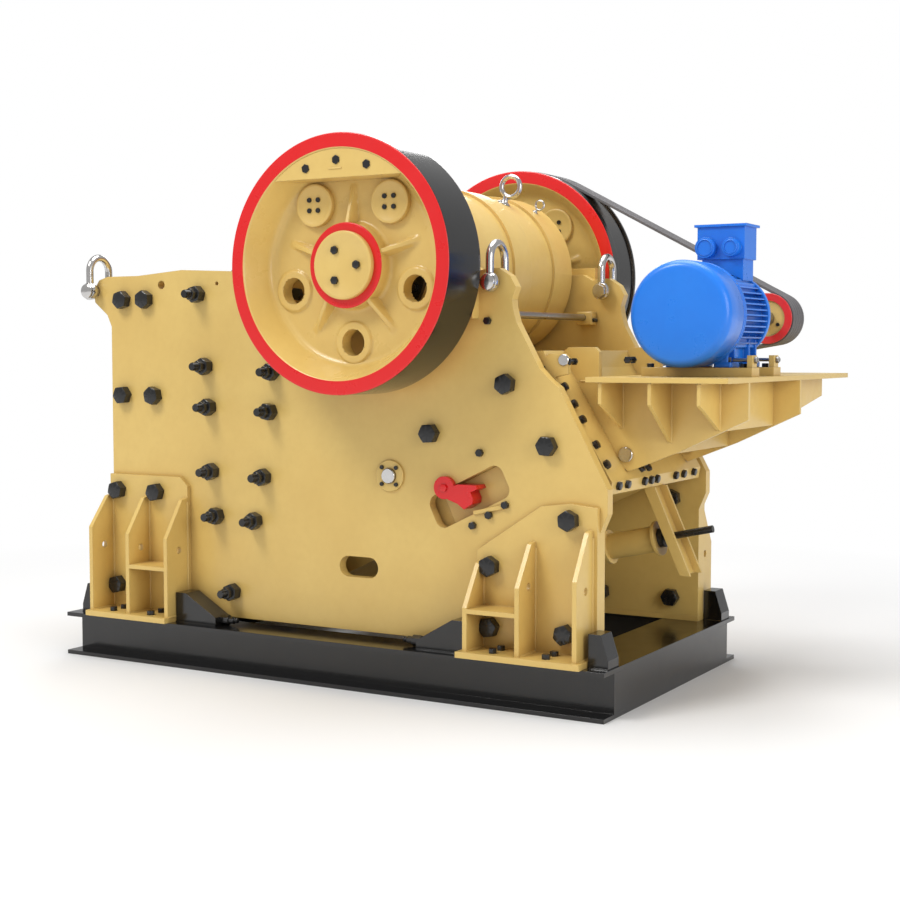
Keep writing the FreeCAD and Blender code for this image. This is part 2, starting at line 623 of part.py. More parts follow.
def pitman():
    cx, cz, half = "made.throw_x", "made.throw_z", "made.barrel_half"
    barrel = rod("barrel", "y", cx, f"-{half}", cz, "size.barrel_r", f"2 * {half}")
    bands = [
        rod(f"band_{i}", "y", cx, low, cz, "size.barrel_r + size.barrel_step", wide)
        for i, (low, wide) in enumerate((
            (f"-{half}", "size.band_end"), ("-size.band_mid / 2", "size.band_mid"),
            (f"{half} - size.band_end", "size.band_end")))
    ]
    thick = "size.liner_thick"
    seat = "size.toggle_from - size.toggle_gap"
    body = [
        (f"size.swing_top_x + {thick}", "size.swing_top_z - size.swing_skew"),
        (f"size.swing_low_x + {thick}", "size.swing_low_z - size.swing_skew"),
        ("size.swing_low_x + 225", "size.swing_low_z - 30"),
        along(seat, "size.toggle_line - size.toggle_thick / 2 - 35"),
        along(seat, "size.toggle_line + size.toggle_thick / 2 + 35"),
        (-120, 760), ("size.shaft_x + 24", "size.shaft_z - 334"), (cx, cz),
        ("size.shaft_x - 326", "size.shaft_z - 124"),
    ]
    trunk = plate("trunk", body, "-made.jaw_half", "2 * made.jaw_half")
    bore = rod("barrel_bore", "y", cx, f"-{half} - 1", cz, "size.crank_r + size.turn_gap", f"2 * {half} + 2")
    node("pitman", cut("pitman_cut", fuse("pitman_raw", barrel, *bands, trunk), bore))

    eyes = []
    for key, y, ring_r, top, tilt in (
            ("big", 234, "size.eye_big", "size.barrel_r", 64),
            ("small", f"{half} - 113", "size.eye_small", "(size.barrel_r + size.barrel_step)", 52)):
        out = (f"cos({tilt} * 1deg)", f"sin({tilt} * 1deg)")
        stem = doc.addObject("Part::Cylinder", f"eye_stem_{key}")
        stem.Placement = Placement(Vector(), Rotation(Vector(0, 1, 0), 90 - tilt))
        bind(stem, "Radius", f"{ring_r} * 0.27")
        bind(stem, "Height", f"{ring_r} * 0.9")
        at(stem, f"{cx} + {top} * {out[0]}", y, f"{cz} + {top} * {out[1]}")
        ring = doc.addObject("Part::Torus", f"eye_ring_{key}")
        ring.Placement = Placement(Vector(), Rotation(Vector(1, 0, 0), 90))
        bind(ring, "Radius1", ring_r)
        bind(ring, "Radius2", f"{ring_r} * 0.24")
        reach = f"({top} + {ring_r} * 1.75)"
        at(ring, f"{cx} + {reach} * {out[0]}", y, f"{cz} + {reach} * {out[1]}")
        eyes.append(fuse(f"eye_{key}", stem, ring))
    node("pitman_eyebolts", group("eyes", *eyes))


# ---------------------------------------------------------------- shaft, wheels, bearings
def shaft():
    reach = "(made.wheel_face - size.hub_deep)"
    main = rod("journal", "y", "size.shaft_x", f"-{reach}", "size.shaft_z", "size.shaft_r", f"2 * {reach}")
    crank = rod("crank", "y", "made.throw_x", "-made.crank_half", "made.throw_z", "size.crank_r",
                "2 * made.crank_half")
    node("eccentric_shaft", fuse("shaft_fused", main, crank))


def bearings():
    deep = "made.bearing_out - made.bearing_in"
    drum = rod("bearing_drum", "y", "size.shaft_x", "made.bearing_in", "size.shaft_z",
               "size.bearing_r", deep)
    pad = span("bearing_pad", ("size.shaft_x - size.pad_half", "size.shaft_x + size.pad_half"),
               ("made.skin", "made.skin + size.pad_thick"),
               ("size.shaft_z - size.pad_below", "size.shaft_z + size.pad_above"))
    bore = rod("bearing_bore", "y", "size.shaft_x", "made.bearing_in - 1", "size.shaft_z",
               "size.shaft_r + size.turn_gap", f"{deep} + 2")
    far = node("bearing_housing_far", cut("bearing_cut", fuse("bearing_raw", drum, pad), bore))
    node("bearing_housing_near", mirrored("bearing_other", far))


def wheel_profile(side, way):
    """(radius, depth) outline of a wheel, its outer face at depth 0; the driven one has a belt seat."""
    def deep(text):
        return f"{way} * ({text})"

    rim = [("size.wheel_r", 0), ("size.wheel_r", deep("size.wheel_wide"))]
    if side == "far":
        low, high = "size.belt_inset - size.belt_side", "size.belt_inset + size.belt_wide + size.belt_side"
        seat = "size.wheel_r - size.groove_deep"
        rim[1:1] = [("size.wheel_r", deep(low)), (seat, deep(low)), (seat, deep(high)),
                    ("size.wheel_r", deep(high))]
    web_back = "size.web_deep + size.web_plate"
    hub_end = "size.wheel_wide - size.hub_back"
    return [
        ("size.shaft_r", deep("size.hub_deep")), ("size.hub_r", deep("size.hub_deep")),
        ("size.hub_r", deep("size.web_deep")), ("size.dish_r", deep("size.web_deep")),
        ("size.rim_in", 0), *rim, ("size.rim_in", deep("size.wheel_wide")), ("size.dish_r", deep(web_back)),
        ("size.hub_r", deep(web_back)), ("size.hub_r", deep(hub_end)), ("size.shaft_r", deep(hub_end)),
    ]


def dish_cone(name, side, low, high, tall):
    """Cone on the wheel's web that widens or narrows towards the outer face."""
    way = 1 if side == "near" else -1
    cone = doc.addObject("Part::Cone", f"{name}_{side}")
    cone.Placement = Placement(Vector(), Rotation(Vector(1, 0, 0), 90 * way))
    bind(cone, "Radius1", low)
    bind(cone, "Radius2", high)
    bind(cone, "Height", tall)
    return at(cone, "size.shaft_x", f"{-way} * (made.wheel_face - size.web_deep)", "size.shaft_z")


def wheels():
    for side, way in (("near", 1), ("far", -1)):
        face = f"{-way} * made.wheel_face"
        web = f"{-way} * (made.wheel_face - size.web_deep)"
        hub = f"{-way} * (made.wheel_face - size.hub_deep)"
        wheel = turned(f"wheel_{side}", wheel_profile(side, way), "size.shaft_x", face, "size.shaft_z")

        def low_end(start, height):
            return f"{start} - {height}" if way > 0 else start

        def spot(angle):
            return (f"size.shaft_x + size.wheel_holes * cos({angle} * 1deg)",
                    f"size.shaft_z + size.wheel_holes * sin({angle} * 1deg)")

        bosses, holes = [], []
        for i, angle in enumerate((-90, -18, -162)):
            x, z = spot(angle)
            bosses.append(rod(f"boss_{side}_{i}", "y", x, low_end(web, "size.boss_high"), z, "size.boss_r",
                              "size.boss_high"))
            reach = "(size.web_plate + size.boss_high + 5)"
            holes.append(rod(f"hole_{side}_{i}", "y", x, f"{web} - {reach}", z, "size.hole_r",
                             f"2 * {reach}"))
        star = []
        for i in range(5):
            turn = 90 - 72 * i
            rib = box(f"rib_{side}_{i}", 0, 0, 0, "size.rib_out", "made.rise", "size.rib_thick")
            rib.Placement.Rotation = Rotation(Vector(0, -1, 0), turn)
            at(rib, f"size.shaft_x + size.rib_thick / 2 * sin({turn} * 1deg)", low_end(web, "made.rise"),
               f"size.shaft_z - size.rib_thick / 2 * cos({turn} * 1deg)")
            star.append(rib)
        slope = dish_cone("rib_cone", side, "size.rib_out", "size.hub_r", "made.rise")
        ribs = common(f"ribs_{side}", fuse(f"rib_star_{side}", *star), slope)
        core = rod(f"shaft_way_{side}", "y", "size.shaft_x",
                   f"{face} - size.wheel_wide - 10", "size.shaft_z",
                   "size.shaft_r", "2 * size.wheel_wide + 20")
        solid = fuse(f"wheel_raw_{side}", wheel, *bosses, ribs)
        node(f"flywheel_{side}", cut(f"wheel_cut_{side}", solid, core, *holes))

        covers = [rod(f"hub_cover_{side}", "y", "size.shaft_x", low_end(hub, "size.hub_cover_high"),
                      "size.shaft_z", "size.hub_cover_r", "size.hub_cover_high")]
        for i, angle in enumerate((54, 126)):
            x, z = spot(angle)
            covers.append(rod(f"cover_{side}_{i}", "y", x, low_end(web, "size.cover_high"), z,
                              "size.cover_r", "size.cover_high"))
        node(f"wheel_covers_{side}", group(f"covers_{side}", *covers))

        cone = dish_cone("weight_cone", side, "size.dish_r - size.turn_gap", "size.rim_in - size.turn_gap",
                         "size.web_deep")
        cap = box(f"weight_box_{side}", "size.shaft_x - size.wheel_r",
                  f"{face} + size.weight_inset" if way > 0 else web, "size.shaft_z + size.weight_chord",
                  "2 * size.wheel_r", "size.web_deep - size.weight_inset",
                  "size.wheel_r - size.weight_chord")
        node(f"counterweight_{side}", common(f"weight_{side}", cone, cap))


# ---------------------------------------------------------------- toggle, wedges, tension rod
def toggle():
    half = "size.toggle_thick / 2"
    line = "size.toggle_line"
    wide = ("-made.toggle_half", "made.toggle_half")
    node("toggle_plate", sloped("toggle", ("size.toggle_from", "size.toggle_to"),
                                (f"{line} - {half}", f"{line} + {half}"), wide))
    room = "(size.slide_high / 2 - size.slide_gap)"
    seat_end = "(size.toggle_to + size.seat_long)"
    inner = "(size.plate_in - size.seat_side)"
    node("toggle_seat", sloped("seat", ("size.toggle_to", seat_end),
                               (f"{line} - {room}", f"{line} + {room}"),
                               (f"-{inner}", inner)))
    side = "(size.plate_in - size.slide_side)"
    node("adjusting_wedges", sloped("wedges", (seat_end, "size.slide_to"),
                                    (f"{line} - {room}", f"{line} + {room}"), (f"-{side}", side)))

    # red adjusters: a lever through the window, under a round cap on the side plate
    lever = [along(u, n) for u, n in (
        (1005, f"{line} + 32"), (1050, f"{line} + 76"), (1085, f"{line} + 72"), (1170, f"{line} + 30"),
        (1170, f"{line} + 12"), (1130, f"{line} + 12"), (1130, f"{line} - 18"), (1117, f"{line} - 39"),
        (1065, f"{line} - 45"), (1045, f"{line} - 8"))]
    tip = "(made.skin + size.cap_proud)"
    levers = []
    for name, sign in (("near", -1), ("far", 1)):
        low = side if sign > 0 else f"-{tip}"
        cap_low = "made.skin" if sign > 0 else f"-{tip}"
        cap = rod(f"adjuster_cap_{name}", "y", "size.cap_x", cap_low, "size.cap_z", "size.adjuster_r",
                  "size.cap_proud")
        arm = plate(f"adjuster_arm_{name}", lever, low, f"{tip} - {side}")
        levers.append(fuse(f"adjuster_{name}", cap, arm))
    node("setting_adjusters", group("adjusters", *levers))


def tension_rod():
    tilt = "size.rod_angle"

    def piece(name, start, length, radius):
        obj = doc.addObject("Part::Cylinder", name)
        obj.Placement = Placement(Vector(), Rotation(Vector(0, 1, 0), 90))
        bind(obj, "Placement.Rotation.Angle", f"90 - {tilt}")
        bind(obj, "Radius", radius)
        bind(obj, "Height", length)
        return at(obj, f"size.rod_x + ({start}) * cos({tilt} * 1deg)", 0,
                  f"size.rod_z + ({start}) * sin({tilt} * 1deg)")

    bar = piece("tension_bar", "-size.rod_front", "size.rod_front + size.rod_rear", "size.rod_r")
    nut = piece("tension_nut", 0, "size.rod_nut", "size.rod_nut_r")
    node("tension_rod", fuse("tension_fused", bar, nut))
    tube = piece("spring_barrel", "-size.tube_long", "size.tube_long", "size.tube_r")
    ends = [
        piece("spring_end_a", "-size.tube_long", "size.tube_flange", "size.tube_flange_r"),
        piece("spring_end_b", "-size.tube_flange", "size.tube_flange", "size.tube_flange_r"),
    ]
    way = piece("spring_way", "-size.tube_long - 1", "size.tube_long + 2", "size.rod_r + size.turn_gap")
    node("spring_tube", cut("spring_cut", fuse("spring_raw", tube, *ends), way))

    top_x, top_z = "(size.seat_low_x + 2)", "(size.seat_low_z - 45)"
    foot_x, foot_z = f"({top_x} + size.channel_run)", f"({top_z} - size.channel_drop)"
    thick, half = "size.channel_thick", "size.channel_half"
    back = [(top_x, top_z), (f"{top_x} + 16", top_z), (f"{foot_x} + 16", foot_z), (foot_x, foot_z)]
    web = [back[0], (f"{top_x} + 58", top_z), (f"{foot_x} + 52", foot_z), back[3]]
    channel = fuse(
        "channel_raw", plate("channel_near", web, f"-{half}", thick),
        plate("channel_far", web, f"{half} - {thick}", thick),
        plate("channel_web", back, f"-{half}", f"2 * {half}"))
    way = piece("channel_way", -200, 560, "size.rod_r")
    node("tension_rod_bracket", cut("channel_cut", channel, way))


def spreader():
    inner = "(size.plate_in - size.spreader_end)"
    bar = rod("spreader_bar", "y", "size.spreader_x", f"-{inner}", "size.spreader_z", "size.spreader_r",
              f"2 * {inner}")
    blocks = []
    for side, low in (("near", "-size.plate_in"), ("far", inner)):
        blocks.append(span(f"spreader_block_{side}", ("size.spreader_x - 42", "size.spreader_x + 50"),
                           (low, f"{low} + size.spreader_end"),
                           ("size.spreader_z - 38", "size.spreader_z + 30")))
    node("spreader_rod", fuse("spreader_fused", bar, *blocks))


# ---------------------------------------------------------------- motor bracket
def flange_x(z):
    """Outer face of the bracket's slanted flange at a height."""
    lean = "(size.seat_low_x - size.seat_top_x) / (size.seat_top_z - size.seat_low_z)"
    return f"(size.seat_top_x + size.flange_plate + (size.seat_top_z + 10 - ({z})) * {lean})"


def bracket():
    half = "size.gusset_thick / 2"
    under, end = "size.deck_z", "size.deck_end"
    top, low = ("size.seat_top_x", "size.seat_top_z"), ("size.seat_low_x", "size.seat_low_z")
    flange = [
        (f"{top[0]} - 25", f"{top[1]} + 90"), (f"{top[0]} + 15", f"{top[1]} + 90"),
        (flange_x(f"{top[1]} + 10"), f"{top[1]} + 10"), (flange_x(f"{low[1]} + 10"), f"{low[1]} + 10"),
        (f"{low[0]} + size.flange_plate - 10", f"{low[1]} - 45"), (low[0], f"{low[1]} - 45"), low, top,
    ]
    body = plate("flange", flange, "-made.flange_half", "2 * made.flange_half")
    lugs = []
    for name, x, high, start in (
            ("near", (1112, 1232), 1577, "-made.flange_half"),
            ("far", (1112, 1232), 1577, "made.flange_half - size.lug_thick"),
            ("motor_near", (1112, 1293), 1606, f"size.gusset_near - {half}"),
            ("motor_far", (1112, 1293), 1606, f"size.gusset_far - {half}")):
        outline = [(x[0], 1500), (x[0], f"{high} - 25"), (x[0] + 25, high), (x[1] - 22, high),
                   (x[1], f"{high} - 22"), (x[1], 1486), (1160, 1470)]
        if name.startswith("motor"):
            outline[5:] = [(x[1], under), (flange_x(under), under)]
        lugs.append(plate(f"lug_{name}", outline, start, "size.lug_thick"))
    node("bracket_flange", fuse("flange_fused", body, *lugs))
    node("motor_deck", span("deck", ("size.deck_front", end), ("size.deck_near", "size.deck_far"),
                            (under, "made.deck_top")))

    side = [(flange_x(under), under), (flange_x(1059.4), 1059.4), (1440, 1045), (1690, 1144),
            (end, 1290), (end, under)]
    for label, key, reach, way in (("near", "size.gusset_near", "size.deck_near", -1),
                                   ("far", "size.gusset_far", "size.deck_far", 1)):
        parts = [plate(f"gusset_{label}_side", side, f"{key} - {half}", "size.gusset_thick")]
        wall, tip = f"{key} + {way} * {half}", f"{reach} - {way} * 20"
        for i, (x, foot) in enumerate(((1405, 1240), (1638, 1180), (1863, 1240))):
            rib = [(wall, under), (tip, under), (tip, f"{under} - size.rib_root"), (wall, foot)]
            parts.append(slab(f"gusset_{label}_rib_{i}", rib, f"{x} - size.web_rib / 2", "size.web_rib"))
        pin = rod(f"gusset_{label}_pin", "y", 1430, f"{key} - {half} - 8", 1122, "size.pin_r",
                  "size.gusset_thick + 16")
        node(f"bracket_gusset_{label}", fuse(f"gusset_{label}", *parts, pin))
    room = (f"size.gusset_near + {half}", f"size.gusset_far - {half}")
    walls = [
        span(f"diaphragm_{i}", (f"{x} - size.web_rib / 2", f"{x} + size.web_rib / 2"), room, (low, under))
        for i, (x, low) in enumerate(((1638, 1130), (1863, 1235)))
    ]
    node("bracket_diaphragms", group("diaphragms", *walls))
    rails = []
    for i, y in enumerate((-150, 150)):
        bed = span(f"rail_bed_{i}", ("size.motor_x - 260", "size.motor_x + 265"),
                   (f"{y} - size.rail_half", f"{y} + size.rail_half"), ("made.deck_top", "made.rail_top"))
        stop = span(f"rail_stop_{i}", ("size.motor_x + 235", "size.motor_x + 260"),
                    (f"{y} - size.rail_half + 20", f"{y} + size.rail_half - 20"),
                    ("made.deck_top", "made.rail_top + 55"))
        rails.append(fuse(f"rail_{i}", bed, stop))
    node("motor_rails", group("rails", *rails))


# ---------------------------------------------------------------- motor and belt
def motor():
    x, z = "size.motor_x", "size.motor_z"
    foot = "made.rail_top"
    low = f"({z} - size.motor_r)"
    shield_end = "(size.motor_rear + size.shield_thick)"
    stator = rod("stator", "y", x, "size.motor_front", z, "size.motor_r",
                 "size.motor_rear - size.motor_front")
    shield = rod("shield", "y", x, "size.motor_rear", z, "size.shield_r", "size.shield_thick")
    cap = rod("bearing_cap", "y", x, shield_end, z, "size.cap_r", "size.cap_long")
    feet_block = span("motor_feet", (f"{x} - size.motor_foot", f"{x} + size.motor_foot"),
                      ("size.motor_front", "size.motor_rear - 5"), (foot, f"{low} + 75"))
    tunnel = span("motor_tunnel", (f"{x} - size.motor_foot + 63", f"{x} + size.motor_foot - 63"),
                  ("size.motor_front - 1", "size.motor_rear + 1"), (f"{foot} - 1", f"{low} + 45"))
    side_gap = [
        span(f"motor_gap_{i}", (f"{x} + {way} * size.motor_foot - 31 - {way} * 33",
                                f"{x} + {way} * size.motor_foot + 33 - {way} * 31"),
             ("-60", "115"), (f"{foot} + 24", f"{low} + 145"))
        for i, way in enumerate((-1, 1))
    ]
    hole = rod("shaft_hole", "y", x, f"{shield_end} - 10", z, "size.motor_shaft_r + size.turn_gap",
               "size.cap_long + 20")
    base_block = cut("motor_base", feet_block, tunnel, *side_gap)
    node("motor_body", cut("motor_cut", fuse("motor_raw", stator, shield, cap, base_block), hole))

    fan = doc.addObject("Part::Fillet", "fan_cover_round")
    fan.Base = rod("fan_cover_raw", "y", x, "size.fan_front", z, "size.fan_r",
                   "size.motor_front - size.fan_front")
    doc.recompute()
    face, bend = number("size.fan_front"), number("size.fan_round")
    edges = [i for i, e in enumerate(fan.Base.Shape.Edges, start=1)
             if e.BoundBox.YMax < face + 1 and e.Length > bend * 6]
    fan.Edges = [(i, bend, bend) for i in edges]
    node("fan_cover", fan)

    box_low = f"({z} + size.motor_r + size.box_above)"
    box_top = f"({box_low} + size.box_high)"
    neck = span("box_neck", (f"{x} - 90", f"{x} + 110"), (112, 250),
                (f"{z} + size.motor_r - 35", f"{box_low} + 2"))
    case_x, case_y = (f"{x} - 110", f"{x} + 120"), (100, 262)
    case = span("box_case", case_x, case_y, (box_low, box_top))
    lid = span("box_lid", (f"{case_x[0]} - size.lid_over", f"{case_x[1]} + size.lid_over"),
               (f"{case_y[0]} - size.lid_over", f"{case_y[1]} + size.lid_over"),
               (box_top, f"{box_top} + size.lid_thick"))
    glands = [rod(f"gland_{i}", "y", f"{x} + {dx}", 66, f"{box_low} + 54", radius, 40)
              for i, (dx, radius) in enumerate(((-62, 48), (62, 42)))]
    inner = rod("box_seat", "y", x, 60, z, "size.motor_r + size.turn_gap", 250)
    node("terminal_box", cut("terminal_cut", fuse("terminal_raw", neck, case, lid, *glands), inner))

    node("motor_shaft", rod("drive_shaft", "y", x, shield_end, z, "size.motor_shaft_r",
                            f"made.pulley_to - {shield_end} - size.shaft_short"))
    wide = "(made.pulley_to - made.pulley_from)"
    lips = [rod(f"pulley_lip_{i}", "y", x, start, z, "size.pulley_lip", "size.lip_wide")
            for i, start in enumerate(("made.pulley_from", "made.pulley_to - size.lip_wide"))]
    drum = rod("pulley_drum", "y", x, "made.pulley_from", z, "size.pulley_r", wide)
    way = rod("pulley_way", "y", x, "made.pulley_from - 1", z, "size.motor_shaft_r", f"{wide} + 2")
    node("motor_pulley", cut("pulley_cut", fuse("pulley_raw", drum, *lips), way))


def belt():
    """Loop round both pulleys: two arcs joined by their outer tangents."""
    dx = "(size.motor_x - size.shaft_x)"
    dz = "(size.motor_z - size.shaft_z)"
    apart = f"sqrt({dx}^2 + {dz}^2)"
    big = "(size.wheel_r - size.groove_deep + size.belt_gap)"
    small = "(size.pulley_r + size.belt_gap)"
    open_angle = f"asin(({big} - {small}) / {apart})"
    centre = f"atan({dz} / {dx})"

    def loop(name, extra, low, wide):
        r_big = f"({big} + {extra})"
        r_small = f"({small} + {extra})"
        corners = []
        for cx, cz, radius, turn in (
                ("size.shaft_x", "size.shaft_z", r_big, 1), ("size.motor_x", "size.motor_z", r_small, 1),
                ("size.motor_x", "size.motor_z", r_small, -1), ("size.shaft_x", "size.shaft_z", r_big, -1)):
            angle = f"({centre} + {turn} * (90deg - {open_angle}))"
            corners.append((f"{cx} + {radius} * cos({angle})", f"{cz} + {radius} * sin({angle})"))
        return fuse(name, rod(name + "_a", "y", "size.shaft_x", low, "size.shaft_z", r_big, wide),
                    rod(name + "_b", "y", "size.motor_x", low, "size.motor_z", r_small, wide),
                    plate(name + "_c", corners, low, wide))

    outer = loop("belt_outer", "size.belt_thick", "made.belt_from", "size.belt_wide")
    inner = loop("belt_inner", 0, "made.belt_from - 1", "size.belt_wide + 2")
    node("drive_belt", cut("belt_cut", outer, inner))


# ---------------------------------------------------------------- shackles
def shackles():
    """Bow shackles through the four lifting lugs: the bow stands across the plate."""
    mid = "(size.plate_in + size.plate_thick / 2)"
    rise = 105
    far = []
    for key in ("front", "rear"):
        x, z = f"size.lug_{key}_x", f"size.lug_{key}_z"
        pin = rod(f"pin_{key}", "y", x, f"{mid} - 98", z, "size.lug_hole_r - size.turn_gap", 196)
        heads = [rod(f"head_{key}_{i}", "y", x, f"{mid} + {low}", z, 48, 34)
                 for i, low in enumerate((-92, 58))]
        legs = [rod(f"leg_{key}_{i}", "z", x, f"{mid} + {y}", z, 19, rise)
                for i, y in enumerate((-71, 71))]
        bow = doc.addObject("Part::Torus", f"bow_{key}")
        bow.Placement = Placement(Vector(), Rotation(Vector(0, 1, 0), 90))
        bow.Radius1 = 71
        bow.Radius2 = 19
        at(bow, x, mid, f"{z} + {rise}")
        upper = span(f"bow_half_{key}", (f"{x} - 40", f"{x} + 40"), (f"{mid} - 100", f"{mid} + 100"),
                     (f"{z} + {rise}", f"{z} + {rise} + 115"))
        far.append(fuse(f"shackle_{key}", pin, *heads, *legs, common(f"bow_top_{key}", bow, upper)))
    both = node("shackles_far", group("shackles_far", *far))
    node("shackles_near", mirrored("shackles_other", both))


for make in (base, side_plates, front_frame, rear_frame, feet, stops, jaws, pitman, shaft, bearings, wheels,
             toggle, tension_rod, spreader, bracket, motor, belt, shackles):
    make()
doc.recompute()

broken = [o.Name for o in doc.Objects if "Invalid" in o.State or "Error" in o.State]
if broken:
    raise SystemExit(f"failed objects: {broken}")
for obj in nodes:
    if obj.Shape.isNull() or not obj.Shape.isValid():
        raise SystemExit(f"bad shape: {obj.Label}")
os.makedirs("parts", exist_ok=True)
for obj in nodes:
    obj.Shape.exportStep(f"parts/{obj.Label}.step")
    print(obj.Label, len(obj.Shape.Solids), round(obj.Shape.Volume / 1e9, 5))
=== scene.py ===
# Jaw crusher on its skid: finishes, flywheels, motor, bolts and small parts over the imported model.
import json
import math

import bpy
import numpy as np
from mathutils import Matrix, Vector


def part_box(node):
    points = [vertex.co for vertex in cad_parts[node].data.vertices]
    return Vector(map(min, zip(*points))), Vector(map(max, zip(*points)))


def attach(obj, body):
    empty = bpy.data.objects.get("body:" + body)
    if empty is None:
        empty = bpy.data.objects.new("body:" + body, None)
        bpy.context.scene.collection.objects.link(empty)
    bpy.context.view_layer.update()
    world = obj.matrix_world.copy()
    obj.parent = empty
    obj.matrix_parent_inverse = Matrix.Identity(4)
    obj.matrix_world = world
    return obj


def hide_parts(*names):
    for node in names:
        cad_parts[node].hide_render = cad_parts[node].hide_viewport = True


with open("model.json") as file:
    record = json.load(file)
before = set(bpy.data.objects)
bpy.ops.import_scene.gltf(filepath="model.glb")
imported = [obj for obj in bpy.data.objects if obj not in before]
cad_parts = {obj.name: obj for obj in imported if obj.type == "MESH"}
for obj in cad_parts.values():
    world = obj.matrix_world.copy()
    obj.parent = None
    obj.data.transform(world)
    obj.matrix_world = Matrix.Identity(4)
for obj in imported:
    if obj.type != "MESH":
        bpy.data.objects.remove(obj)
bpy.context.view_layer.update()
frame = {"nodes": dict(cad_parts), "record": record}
nodes = frame["nodes"]
record = frame["record"]
scene = bpy.context.scene
print("frame loaded with", len(nodes), "nodes")

jointPlace = {joint["name"]: np.array(joint["pos_m"], float) for joint in record["behaviour"]["joints"]}
shaft, motor = jointPlace["shaft_spin"], jointPlace["motor_spin"]
slotOf = {part["node"]: part["material_slot"] for part in record["subparts"]}


def boxOf(name):  # lowest and highest corner of a node, as arrays
    low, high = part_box(name)
    return np.array(low), np.array(high)


skin = boxOf("side_plate_far")[1][1]  # outer face of the side plates
wheelFace = boxOf("flywheel_far")[1][1]
footSkin = skin + 0.025  # outer face of the foot plates


# surfaces: a shape is (points, list of face tables)
def sheetFaces(rows, cols, loopRows=False, loopCols=True):
    # quads between neighbours (i, j), (i, j+1), (i+1, j+1), (i+1, j)
    i = np.arange(rows if loopRows else rows - 1)[:, None]
    j = np.arange(cols if loopCols else cols - 1)[None]
    a, b = (i + 1) % rows, (j + 1) % cols
    return np.stack([i * cols + j, i * cols + b, a * cols + b, a * cols + j], -1).reshape(-1, 4)


def capped(points, rows, cols):
    # skin of stacked rings with a flat face on its first and last ring
    rings = np.arange(cols)
    return points, [sheetFaces(rows, cols), rings[::-1][None], rings[None] + (rows - 1) * cols]


def lathe(profile, sides=32, reach=None):
    # p(t, a) = (r cos a, r sin a, h) with r the profile's radius, or less where reach(a) is less
    r, h = np.array(profile, float).T
    a = np.linspace(0, 2 * np.pi, sides, endpoint=False)
    r = np.repeat(r[:, None], sides, 1)
    if reach is not None:
        r = np.minimum(r, reach(a)[None])
    points = np.stack([r * np.cos(a), r * np.sin(a), np.repeat(h[:, None], sides, 1)], -1)
    return capped(points.reshape(-1, 3), len(h), sides)


def ring(profile, sides=48):
    # as lathe, with the profile closed on itself: p(t, a) = (r(t) cos a, r(t) sin a, h(t))
    r, h = np.array(profile, float).T
    a = np.linspace(0, 2 * np.pi, sides, endpoint=False)
    points = np.stack([np.outer(r, np.cos(a)), np.outer(r, np.sin(a)), np.repeat(h[:, None], sides, 1)], -1)
    return points.reshape(-1, 3), [sheetFaces(len(r), sides, True)]


def hexagon(across):
    # distance from a hexagon's middle to its side: across / 2 / cos(a), a folded into one sixth
    return lambda a: across / 2 / np.cos((a + np.pi / 6) % (np.pi / 3) - np.pi / 6)


def soft(corners, cut, steps=4, closed=True):
    # each corner c becomes a curve (1-t)^2 a + 2t(1-t) c + t^2 b between points a, b a cut away from it
    c = np.array(corners, float)
    back, ahead = np.roll(c, 1, 0) - c, np.roll(c, -1, 0) - c
    lb, la = np.linalg.norm(back, axis=1), np.linalg.norm(ahead, axis=1)
    cut = np.minimum(np.broadcast_to(cut, len(c)), 0.49 * np.minimum(lb, la))[:, None]
    a, b = c + back / lb[:, None] * cut, c + ahead / la[:, None] * cut
    t = np.linspace(0, 1, steps)[None, :, None]
    path = ((1 - t) ** 2 * a[:, None] + 2 * t * (1 - t) * c[:, None] + t ** 2 * b[:, None])
    if closed:
        return path.reshape(-1, c.shape[1])
    return np.vstack([c[:1], path[1:-1].reshape(-1, c.shape[1]), c[-1:]])


def divided(path, step, closed=False):
    # points added evenly along each span so that none is longer than step
    path = np.vstack([path, path[:1]]) if closed else np.array(path, float)
    span = np.diff(path, axis=0)
    parts = np.maximum(1, np.ceil(np.linalg.norm(span, axis=1) / step)).astype(int)
    which = np.repeat(np.arange(len(parts)), parts)
    share = (np.arange(parts.sum()) - np.repeat(np.cumsum(parts) - parts, parts)) / parts[which]
    out = path[which] + share[:, None] * span[which]
    return out if closed else np.vstack([out, path[-1:]])


def basis(direction):
    # right-handed axes whose third is the direction
    w = np.array(direction, float)
    w = w / np.linalg.norm(w)
    u = np.cross([0, 0, 1.0] if abs(w[2]) < 0.9 else [1.0, 0, 0], w)
    u = u / np.linalg.norm(u)
    return np.stack([u, np.cross(w, u), w], 1)


def placed(shape, origin, direction=(0, 0, 1)):
    # p = B q + origin
    return shape[0] @ basis(direction).T + np.array(origin, float), shape[1]


def repeated(shape, spots, direction=(0, 0, 1), turns=None):
    # copies p = B Z(turn) q + spot, each turned about its own axis
    spots = np.array(spots, float).reshape(-1, 3)
    turns = dice.uniform(0, 2 * np.pi, len(spots)) if turns is None else np.broadcast_to(turns, len(spots))
    c, s, o = np.cos(turns), np.sin(turns), np.zeros(len(spots))
    spin = np.stack([c, -s, o, s, c, o, o, o, o + 1], 1).reshape(-1, 3, 3)
    many = np.einsum("nij,kj->nki", basis(direction) @ spin, shape[0]) + spots[:, None]
    step = np.arange(len(spots))[:, None, None] * len(shape[0])
    return many.reshape(-1, 3), [(table[None] + step).reshape(-1, table.shape[1]) for table in shape[1]]


def joined(*shapes):
    # several shapes as one
    start = np.cumsum([0] + [len(points) for points, tables in shapes])
    faces = [table + begin for (points, tables), begin in zip(shapes, start) for table in tables]
    return np.vstack([points for points, tables in shapes]), faces


